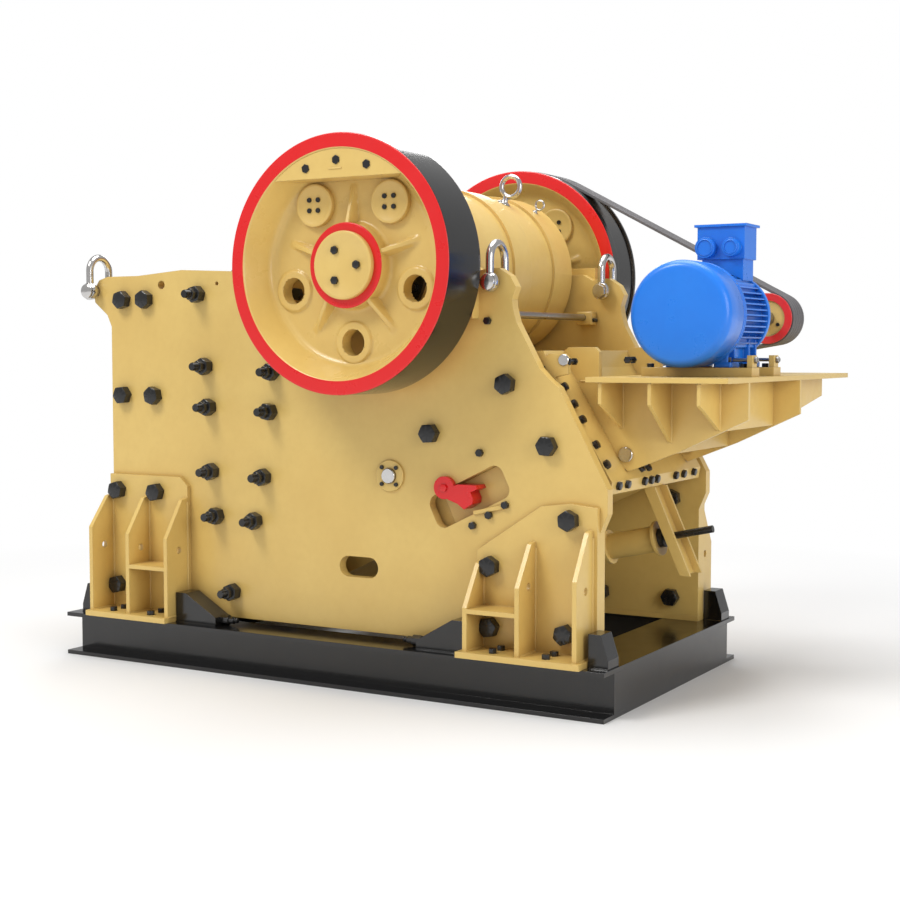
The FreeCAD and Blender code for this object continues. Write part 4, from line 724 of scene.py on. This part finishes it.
addPiece("motor_feet", joined(*footParts), "motor_blue", "frame")
footBolts = [(motor[0] + fx * 0.120, fy, m["footFrom"] + 0.024) for fx in (-1, 1)
             for fy in (m["front"] + 0.062, m["rear"] - 0.075)]
addPiece("motor_foot_bolts", repeated(hexBolt(0.032, 0.022), footBolts), "black_paint", "frame")
fan = [(0.190, m["front"] + 0.002), (0.226, m["front"] + 0.001), (0.229, m["front"] - 0.003)]
for ridge in (0.020, 0.040):  # two ridges round the cover's rear end, with a groove after each
    fan += [(0.229, m["front"] - ridge + 0.008), (0.236, m["front"] - ridge + 0.004),
            (0.236, m["front"] - ridge - 0.002),
            (0.229, m["front"] - ridge - 0.006)]
bend = np.linspace(0, np.pi / 2, 9)
face = m["fanFront"]
fan += [(0.236, m["front"] - 0.056), *zip(0.236 - 0.036 * (1 - np.cos(bend)),
                                          face + 0.036 * (1 - np.sin(bend)))]
fan += [(0.150, face), (0.060, face), (0.01, face)]
addPiece("motor_fan_cover", flipped(alongMotor([(r, -h) for r, h in fan], 96), 1), "motor_blue", "frame",
         40, ["fan_cover"])
spots = ringOn(motor, 0.231, [35, 145, 215, 325], m["front"] - 0.028)
fanScrew = capScrew(0.006, 0.004, 10)
screws = [placed(fanScrew, spot, (spot[0] - motor[0], 0, spot[2] - motor[2])) for spot in spots]
addPiece("fan_cover_screws", joined(*screws), "bright_plating", "frame")

low, high = boxOf("terminal_box")
lidTop, lidLow = high[2], high[2] - 0.012
lidScrews = [(x, y, lidTop - 0.004) for x in (low[0] + 0.018, high[0] - 0.018)
             for y in (high[1] - 0.020, high[1] - 0.166)]
addPiece("terminal_box_screws", repeated(hexBolt(0.015, 0.004, 12), np.array(lidScrews)),
         "bright_plating", "frame")
glandZ = lidLow - 0.150 + 0.054
for key, gx, gr in (("a", -0.062, 0.040), ("b", 0.062, 0.034)):
    hoop = ring([(gr - 0.006, 0), (gr, 0.001), (gr, 0.006), (gr - 0.002, 0.008), (gr - 0.006, 0.008)], 36)
    addPiece(f"gland_ring_{key}", placed(hoop, (motor[0] + gx, low[1] + 0.004, glandZ), near),
             "motor_blue", "frame")
print("motor built")

pLow, pHigh = boxOf("motor_pulley")
bLow, bHigh = boxOf("drive_belt")
pulley = dict(lip=0.128, seat=0.120, groove=0.013, belts=5)


def grooved(seat, low, high, count, depth):
    # seat radius less a trapezoid wave over the belts' width
    edges = np.linspace(low, high, count + 1)
    pitch = edges[1] - edges[0]
    h = (edges[:-1, None] + np.array([0.10, 0.24, 0.76, 0.90]) * pitch).ravel()
    r = np.tile([seat, seat - depth, seat - depth, seat], count)
    return list(zip(r, h))


lip, seat = pulley["lip"], pulley["seat"]
profile = [(0.0365, pLow[1] + 0.010), (0.086, pLow[1] + 0.010), (0.090, pLow[1]), (lip - 0.002, pLow[1]),
           (lip, pLow[1] + 0.002), (lip, pLow[1] + 0.007), (seat, pLow[1] + 0.009),
           *grooved(seat, bLow[1], bHigh[1], pulley["belts"], pulley["groove"]),
           (seat, pHigh[1] - 0.009), (lip, pHigh[1] - 0.007), (lip, pHigh[1] - 0.002),
           (lip - 0.002, pHigh[1]), (0.092, pHigh[1]), (0.088, pHigh[1] - 0.012),
           (0.0365, pHigh[1] - 0.012)]
addPiece("pulley_body", alongMotor(profile, 96), "pulley_iron", "motor_rotor", stands=["motor_pulley"])
spots = ringOn(motor, 0.062, [90, 210, 330], pLow[1] + 0.010)
addPiece("pulley_screws", repeated(capScrew(0.009, 0.006, 12), spots, near), "black_paint", "motor_rotor")


def beltLoop():
    # outer tangents of two circles: arcs about both axes whose radii follow the belt's depth, closed by
    # the
    # straight runs; the section across is a row of belts with a gap between each two
    big = wheel["rim"] - wheel["seat"] + 0.0005
    little = pulley["seat"] + 0.0005
    apart = motor - shaft
    far = math.hypot(apart[0], apart[2])
    lean = math.atan2(apart[2], apart[0])
    hug = math.asin((big - little) / far)
    top, foot = lean + math.pi / 2 - hug, lean - math.pi / 2 + hug
    bigArc = np.linspace(top, foot + 2 * math.pi, 90)
    littleArc = np.linspace(foot, top, 40)
    straight = np.linspace(0, 1, 24)[1:-1]
    normal = np.concatenate([bigArc, np.full(22, foot), littleArc, np.full(22, top)])
    hub = np.concatenate([np.repeat(shaft[None], 90, 0), shaft + straight[:, None] * apart,
                          np.repeat(motor[None], 40, 0), motor - straight[:, None] * apart])
    radius = np.concatenate([np.full(90, big), big + straight * (little - big), np.full(40, little),
                             little + straight * (big - little)])
    count, thick = pulley["belts"], bHigh[2] - (shaft[2] + big)
    pitch = (bHigh[1] - bLow[1]) / count
    starts = bLow[1] + np.arange(count) * pitch
    y = (starts[:, None] + np.array([0.04, 0.04, 0.12, 0.88, 0.96, 0.96]) * pitch).ravel()
    lift = np.tile([0.35, 0.90, 1.0, 1.0, 0.90, 0.35], count) * thick
    y = np.concatenate([y, y[::-1][:1], y[:1]])
    lift = np.concatenate([lift, [0.0, 0.0]])
    reach = radius[:, None] + lift[None]
    points = np.stack([hub[:, :1] + reach * np.cos(normal)[:, None], np.repeat(y[None], len(normal), 0),
                       hub[:, 2:] + reach * np.sin(normal)[:, None]], -1).reshape(-1, 3)
    return points, [sheetFaces(len(normal), len(y), True)[:, ::-1]]


addPiece("belt_set", beltLoop(), "belt_rubber", "frame", 50, ["drive_belt"])
print("drive built")

# lifting gear: bow shackles in the side plates' lugs and eyebolts on the pitman
shackle = dict(stock=0.019, half=0.071, rise=0.105, eye=0.046, pin=0.0262,
               lugs=[(-1.480, 1.900), (0.906, 1.896)])


def bowShackle(x, y, z):
    # bow: a straight leg, half a circle and a leg, of even round section; ball ends on the pin
    s = shackle
    legs = np.linspace(0, s["rise"], 8)
    arc = np.linspace(0, np.pi, 26)[1:-1]
    path = np.concatenate([
        np.stack([0 * legs, 0 * legs - s["half"], legs], 1),
        np.stack([0 * arc, -s["half"] * np.cos(arc), s["rise"] + s["half"] * np.sin(arc)], 1),
        np.stack([0 * legs, 0 * legs + s["half"], legs[::-1]], 1)])
    bow = carried(path, circle(s["stock"], 16), (1, 0, 0))
    e = s["eye"]
    ball = [(e * 0.55, -0.021), (e * 0.86, -0.019), (e * 0.98, -0.010), (e, 0), (e * 0.98, 0.010),
            (e * 0.86, 0.019), (e * 0.55, 0.021)]
    eyes = [placed(lathe(ball, 32), (0, k * 0.073, 0), (0, 1, 0)) for k in (-1, 1)]
    head = lathe([(s["pin"], 0), (0.036, 0.001), (0.038, 0.004), (0.036, 0.009), (0.028, 0.014),
                  (0.014, 0.017), (0.004, 0.0175)], 28)
    nut = lathe([(0.033, 0), (0.0345, 0.002), (0.0345, 0.010), (0.032, 0.0125), (0.012, 0.0130)], 24,
                hexagon(0.060))
    bar = placed(lathe([(s["pin"], -0.094), (s["pin"], 0.094)], 28), (0, 0, 0), (0, 1, 0))
    parts = joined(bow, *eyes, bar, placed(head, (0, -0.0935, 0), near),
                   placed(nut, (0, 0.0935, 0), (0, 1, 0)))
    return parts[0] + [x, y, z], parts[1]


mid = (boxOf("side_plate_far")[0][1] + skin) / 2
pair = joined(*[bowShackle(x, -mid, z) for x, z in shackle["lugs"]])
addPiece("bow_shackles_near", pair, "bright_plating", "frame", stands=["shackles_near"])
addPiece("bow_shackles_far", flipped(pair, 1), "bright_plating", "frame", stands=["shackles_far"])


def eyebolt(foot, y, degrees, size):
    # collar and stem on the barrel, and a ring of round section that stands in the plane of the stem
    a = math.radians(degrees)
    out = np.array([math.cos(a), 0, math.sin(a)])
    crank = jointPlace["pitman_orbit"]
    base = crank + foot * out + [0, y, 0]
    stem = [(size * 0.62, -0.004), (size * 0.66, 0.001), (size * 0.62, size * 0.10),
            (size * 0.36, size * 0.20),
            (size * 0.27, size * 0.40), (size * 0.30, size * 0.80), (size * 0.20, size * 0.86)]
    t = np.linspace(0, 2 * np.pi, 49)[:-1]
    up = np.array([-math.sin(a), 0, math.cos(a)])
    path = base + out * size * 1.75 + size * (np.cos(t)[:, None] * out + np.sin(t)[:, None] * up)
    return joined(placed(lathe(stem, 28), base, out),
                  carried(path, circle(size * 0.24, 14), (0, 1, 0), True))


barrel = 0.396
addPiece("pitman_lifting_eyes", joined(eyebolt(barrel, 0.234, 64, 0.052),
                                       eyebolt(barrel + 0.014, 0.432, 52, 0.024)),
         "bright_plating", "swing_jaw", stands=["pitman_eyebolts"])
print("lifting gear made")


# jaw liners: teeth that run down the face, height = depth * trapezoid wave across the jaw
jaws = dict(teeth=9, depth=0.030, half=0.525)


def toothed(top, low, backTop, backLow):
    top, low, backTop, backLow = (np.array([p[0], 0, p[1]]) for p in (top, low, backTop, backLow))
    n, half = jaws["teeth"], jaws["half"]
    pitch = 2 * half / n
    y = (-half + pitch * (np.arange(n)[:, None] + np.array([0.0, 0.10, 0.28, 0.72, 0.90]))).ravel()
    y = np.append(y, half)
    deep = np.append(np.tile([1, 1, 0, 0, 1], n), 1) * jaws["depth"]
    s = np.linspace(0, 1, 20)[:, None]
    face = top + s * (low - top)
    inward = (backTop - top) / np.linalg.norm(backTop - top)
    wear = 1 - 0.35 * np.sin(np.pi * s[:, :1]) ** 4
    across = np.array([0, 1.0, 0])
    front = face[:, None] + deep[None, :, None] * wear[:, :, None] * inward + y[None, :, None] * across
    back = (backTop + s * (backLow - backTop))[:, None] + np.array([half, -half])[None, :, None] * across
    rows = np.concatenate([front, back], 1)
    return capped(rows.reshape(-1, 3), 20, rows.shape[1])


fixed = toothed((-0.860, 1.985), (-0.660, 0.320), (-0.948, 1.974), (-0.748, 0.309))
swing = toothed((-0.190, 1.720), (-0.555, 0.330), (-0.102, 1.698), (-0.467, 0.308))
addPiece("fixed_jaw_teeth", (fixed[0], [table[:, ::-1] for table in fixed[1]]), "manganese_steel",
         "frame", stands=["fixed_jaw_liner"])
addPiece("moving_jaw_teeth", swing, "manganese_steel", "swing_jaw", stands=["moving_jaw_liner"])

# bearing housings: screws round the outer face, and pad bolts
spots = ringOn(shaft, 0.248, np.arange(0, 360, 45) + 22.5, -boxOf("bearing_housing_far")[1][1])
addPiece("bearing_cover_screws", bothSides(repeated(hexBolt(0.036, 0.018, 12), spots, near)),
         "black_paint", "frame")
padSpots = onSide([(-0.130, 1.860), (-0.130, 1.960), (0.742, 1.860), (0.742, 1.960)], skin + 0.062)
addPiece("bearing_pad_bolts", bothSides(repeated(hexBolt(0.055, 0.026), padSpots, near)), "black_paint",
         "frame")

# nuts inside the side plates, over the foot bolts and the frames' ends
innerSkin = boxOf("side_plate_far")[0][1]
inner = [(x, -innerSkin, z) for x, z in ((1.290, 0.842), (1.288, 0.335), (0.901, 0.334), (0.649, 1.928),
                                         (-1.288, 0.335))]
addPiece("inner_nuts", bothSides(repeated(hexBolt(0.080, 0.040), inner, (0, 1, 0))), "black_paint", "frame")

# spreader rod between the plates, its end blocks and their screws
sx, sz, reach = 0.812, 1.760, innerSkin
rodBar = placed(lathe([(0.0165, 0), (0.017, 0.0005), (0.017, 2 * reach - 0.1205),
                       (0.0165, 2 * reach - 0.12)], 32), (sx, -reach + 0.06, sz), (0, 1, 0))
addPiece("spreader_bar", rodBar, "machined_steel", "frame", stands=["spreader_rod"])
endBlock = block((sx - 0.042, -reach, sz - 0.038), (sx + 0.050, -reach + 0.062, sz + 0.030), 0.010, 0.006)
addPiece("spreader_blocks", bothSides(endBlock), "crusher_cream", "frame")
spots = [(sx + 0.050, -reach + 0.020 + k, sz - 0.014) for k in (0, 0.028)]
addPiece("spreader_screws", bothSides(repeated(hexBolt(0.018, 0.010, 12), spots, (1, 0, 0))),
         "black_paint", "frame")

# rear bracket: bolts of the slanted flange, its foot and lugs
flange = dict(top=(1.145, 1.510), low=(1.450, 1.010), y=0.512)
slope = np.array([flange["low"][0] - flange["top"][0], flange["low"][1] - flange["top"][1]])
slope = slope / np.linalg.norm(slope)
outward = np.array([-slope[1], 0, slope[0]])
down = np.array([0.10, 0.19, 0.27, 0.40, 0.50])
spots = [(flange["top"][0] + d * slope[0], y, flange["top"][1] + d * slope[1]) for d in down
         for y in (-flange["y"], flange["y"])]
addPiece("flange_side_bolts", repeated(hexBolt(0.036, 0.020, 12), spots, outward), "black_paint", "frame")
row = [-0.472, -0.375, -0.181, -0.103, -0.033, 0.202, 0.305, 0.440]
spots = [(1.4475, y, 0.992) for y in row]
addPiece("flange_foot_bolts", repeated(hexBolt(0.034, 0.018, 12), spots, (0.984, 0, -0.179)),
         "black_paint", "frame")
d = 0.545
spots = [(flange["top"][0] + d * slope[0], y, flange["top"][1] + d * slope[1]) for y in (-0.174, -0.096)]
addPiece("channel_bolts", repeated(hexBolt(0.034, 0.018, 12), spots, outward), "black_paint", "frame")
throughBolt = joined(lathe([(0.009, -0.026), (0.009, 0.026)], 16),
                     placed(hexBolt(0.030, 0.014), (0, 0, 0.024)),
                     placed(hexBolt(0.030, 0.014), (0, 0, -0.024), (0, 0, -1)))
spots = [(1.111, -0.540, 1.514), (1.230, -0.500, 1.541), (1.433, -0.310, 1.548)]
addPiece("bracket_studs", joined(*[placed(throughBolt, spot, near) for spot in spots]), "black_paint",
         "frame")
lugPins = [(1.212, y, 1.548) for y in (-0.540, 0.540)]
lugPin = lathe([(0.026, 0), (0.026, 0.006), (0.0235, 0.009), (0.008, 0.009)], 28)
addPiece("lug_pins", joined(placed(lugPin, lugPins[0], near), placed(lugPin, lugPins[1], (0, 1, 0))),
         "bright_plating", "frame")
pinFace = 0.330 + 0.010 + 0.008
gussetPin = lathe([(0.0345, 0), (0.0345, 0.003), (0.032, 0.006), (0.012, 0.006)], 36)
addPiece("gusset_pins", joined(placed(gussetPin, (1.430, -pinFace, 1.122), near),
                               placed(gussetPin, (1.430, 0.400 + 0.018, 1.122),
                                      (0, 1, 0))), "bright_plating", "frame")

# motor rails: hold-down bolts and adjusting screws against the motor's feet
deckTop = boxOf("motor_deck")[1][2]
railTop = deckTop + 0.040
spots = [(motor[0] + k, y, railTop) for y in (-0.150, 0.150) for k in (-0.236, 0.208)]
addPiece("rail_bolts", repeated(hexBolt(0.030, 0.018, 12), spots), "black_paint", "frame")
screw = lathe([(0.0085 * (1 - 0.05 * (k % 2)), h) for k,
               h in enumerate(np.linspace(0, 0.118, 40))] + [(0.002, 0.119)], 14)
screws = [joined(placed(screw, (1.978, y, railTop + 0.034), (-1, 0, 0)),
                 placed(hexBolt(0.026, 0.014, 12), (1.960, y, railTop + 0.034),
                        (1, 0, 0))) for y in (-0.150, 0.150)]
addPiece("rail_adjusting_screws", joined(*screws), "machined_steel", "frame")

# window in the side plates: a bar across it, on both sides; then the adjusters' red ends
bar = block((0.800, -skin - 0.012, 0.846), (0.960, -skin + 0.002, 0.866), 0.004)
tilt = math.radians(13)
turnBy = np.array([[math.cos(tilt), 0, -math.sin(tilt)], [0, 1, 0], [math.sin(tilt), 0, math.cos(tilt)]])
bar = ((bar[0] - [0.88, 0, 0.856]) @ turnBy.T + [0.88, 0, 0.868], bar[1])
addPiece("window_bars", bothSides(bar), "crusher_cream", "frame")
capSpot = onSide([(0.656, 0.960)], skin + 0.0255)
addPiece("adjuster_ends", bothSides(repeated(hexBolt(0.034, 0.010, 12), capSpot, near)), "red_paint",
         "frame")

# feet: bolts down through the soles, and screws beside the stops
footZ = 0.247
spots = [(x, -y, footZ) for x in (-1.245, -0.995, 0.985, 1.250) for y in (0.702, 0.782)]
addPiece("sole_bolts", bothSides(repeated(hexBolt(0.034, 0.022, 12), spots)), "black_paint", "frame")
jack = studSet(0.046, 0.100)
jacks = joined(placed(jack, (-0.604, -0.697, 0.247), (1, 0, 0)),
               placed(jack, (0.568, -0.697, 0.247), (-1, 0, 0)))
addPiece("stop_screws", bothSides(jacks), "skid_black", "frame")
print("bolts of the bracket, rails and feet placed")

# weld beads in the corners of the feet, gussets and stops
lines = []
for ribs, tops in (((-1.378, -1.131, -0.880), (0.82, 0.82, 0.82)),
                   ((0.846, 1.109, 1.388), (0.585, 0.715, 0.775))):
    for x, top in zip(ribs, tops):
        for edge in (x, x + 0.022):
            lines.append(((edge, -footSkin, footZ), (edge, -footSkin, top), (0, 1, 0)))
            lines.append(((edge, -footSkin, footZ), (edge, -0.808, footZ), (1, 0, 0)))
addPiece("foot_welds", bothSides(joined(*[bead(a, b, n, 0.0055) for a, b, n in lines])), "crusher_cream",
         "frame")
lines = []
for wall, tip, sign in ((-0.340, -0.580, -1), (0.410, 1.180, 1)):
    lines.append(((1.20, wall, 1.451), (1.995, wall, 1.451), (0, 0, 1)))
    for x, foot in ((1.405, 1.24), (1.638, 1.18), (1.863, 1.24)):
        for edge in (x - 0.008, x + 0.008):
            lines.append(((edge, wall, 1.451), (edge, wall, foot), (0, 1, 0)))
            lines.append(((edge, wall, 1.451), (edge, tip, 1.451), (1, 0, 0)))
addPiece("bracket_welds", joined(*[bead(a, b, n, 0.005) for a, b, n in lines]), "crusher_cream", "frame")
lines = []
for x0, x1 in ((-1.487, -1.392), (-0.853, -0.603), (0.567, 0.817), (1.437, 1.532)):
    for y in (-0.642, -0.752):
        lines.append(((x0, y, 0.220), (x1, y, 0.220), (0, 0, 1)))
for x in (-1.240, 1.240):
    lines.append(((x, -0.581, 0.220), (x, 0.581, 0.220), (0, 0, 1)))
beads = [bead(a, b, n, 0.005) for a, b, n in lines]
addPiece("skid_welds", bothSides(joined(*beads[:-2])), "skid_black", "frame")
print("welds laid")

# studio
studio = dict(place=(4.2077, -6.7244, 1.5932), pitch=86.27, yaw=30.08, lens=61.42, floorShade=0.80,
              clearFrom=2.6, clearTo=5.5, sky=0.50,
              key=450, fill=170, top=400, back=150)
lensData = bpy.data.cameras.new("studio_camera")
lensData.lens, lensData.sensor_width, lensData.clip_end = studio["lens"], 36, 200
camera = bpy.data.objects.new("studio_camera", lensData)
camera.location = studio["place"]
camera.rotation_euler = (math.radians(studio["pitch"]), 0, math.radians(studio["yaw"]))
scene.collection.objects.link(camera)
scene.camera = camera
scene.view_settings.view_transform = "Standard"


def softLight(name, place, aim, size, watts, colour=(1, 1, 1)):
    data = bpy.data.lights.new(name, "AREA")
    data.shape, data.size, data.energy, data.color = "DISK", size, watts, colour
    lamp = bpy.data.objects.new(name, data)
    lamp.matrix_world = matrixAt(place, aim)
    scene.collection.objects.link(lamp)


def matrixAt(place, aim):  # turned so that -z looks at the aim
    way = Vector(aim) - Vector(place)
    return Matrix.Translation(place) @ way.to_track_quat("-Z", "Y").to_matrix().to_4x4()


softLight("key_light", (-2.8, -6.2, 8.6), (0, 0, 1.1), 3.6, studio["key"], (1.0, 0.985, 0.96))
softLight("fill_light", (7.5, -3.0, 3.2), (0.4, 0, 1.2), 4.0, studio["fill"])
softLight("top_light", (0.5, 0.5, 8.0), (0, 0, 1.0), 6.0, studio["top"])
softLight("back_light", (-4.0, 7.0, 5.0), (0, 0, 1.2), 4.0, studio["back"])
world = bpy.data.worlds.new("studio_air")
scene.world = world
world.use_nodes = True
tree = world.node_tree
air = tree.nodes["Background"]
seen = put(tree, "LightPath").outputs["Is Camera Ray"]
tree.links.new(spread(tree, seen, 0, 1, studio["sky"], 1.0), air.inputs["Strength"])
air.inputs["Color"].default_value = (1, 1, 1, 1)
floorMesh = bpy.data.meshes.new("studio_floor")
floorMesh.from_pydata([(-60, -60, 0), (60, -60, 0), (60, 60, 0), (-60, 60, 0)], [], [(0, 1, 2, 3)])
floor = bpy.data.objects.new("studio_floor", floorMesh)
scene.collection.objects.link(floor)
paper = bpy.data.materials.new("pale_floor")
paper.use_nodes = True
tree = paper.node_tree
sheet = tree.nodes["Principled BSDF"]
sheet.inputs["Base Color"].default_value = (studio["floorShade"],) * 3 + (1,)
sheet.inputs["Roughness"].default_value = 0.9
# far from the machine the floor is plain white
glow = put(tree, "Emission", {"Color": (1, 1, 1, 1), "Strength": 1.0})
away = put(tree, "VectorMath", {0: put(tree, "TexCoord").outputs["Object"]},
           operation="LENGTH").outputs["Value"]
both = put(tree, "MixShader", {0: spread(tree, away, studio["clearFrom"], studio["clearTo"]),
                               1: sheet.outputs[0], 2: glow.outputs[0]})
tree.links.new(both.outputs[0], tree.nodes["Material Output"].inputs["Surface"])
floorMesh.materials.append(paper)
largest = max(tally, key=tally.get)
print("studio set;", sum(tally.values()), "triangles added in", len(tally), "pieces")
print("largest piece:", largest, "with", tally[largest], "triangles")
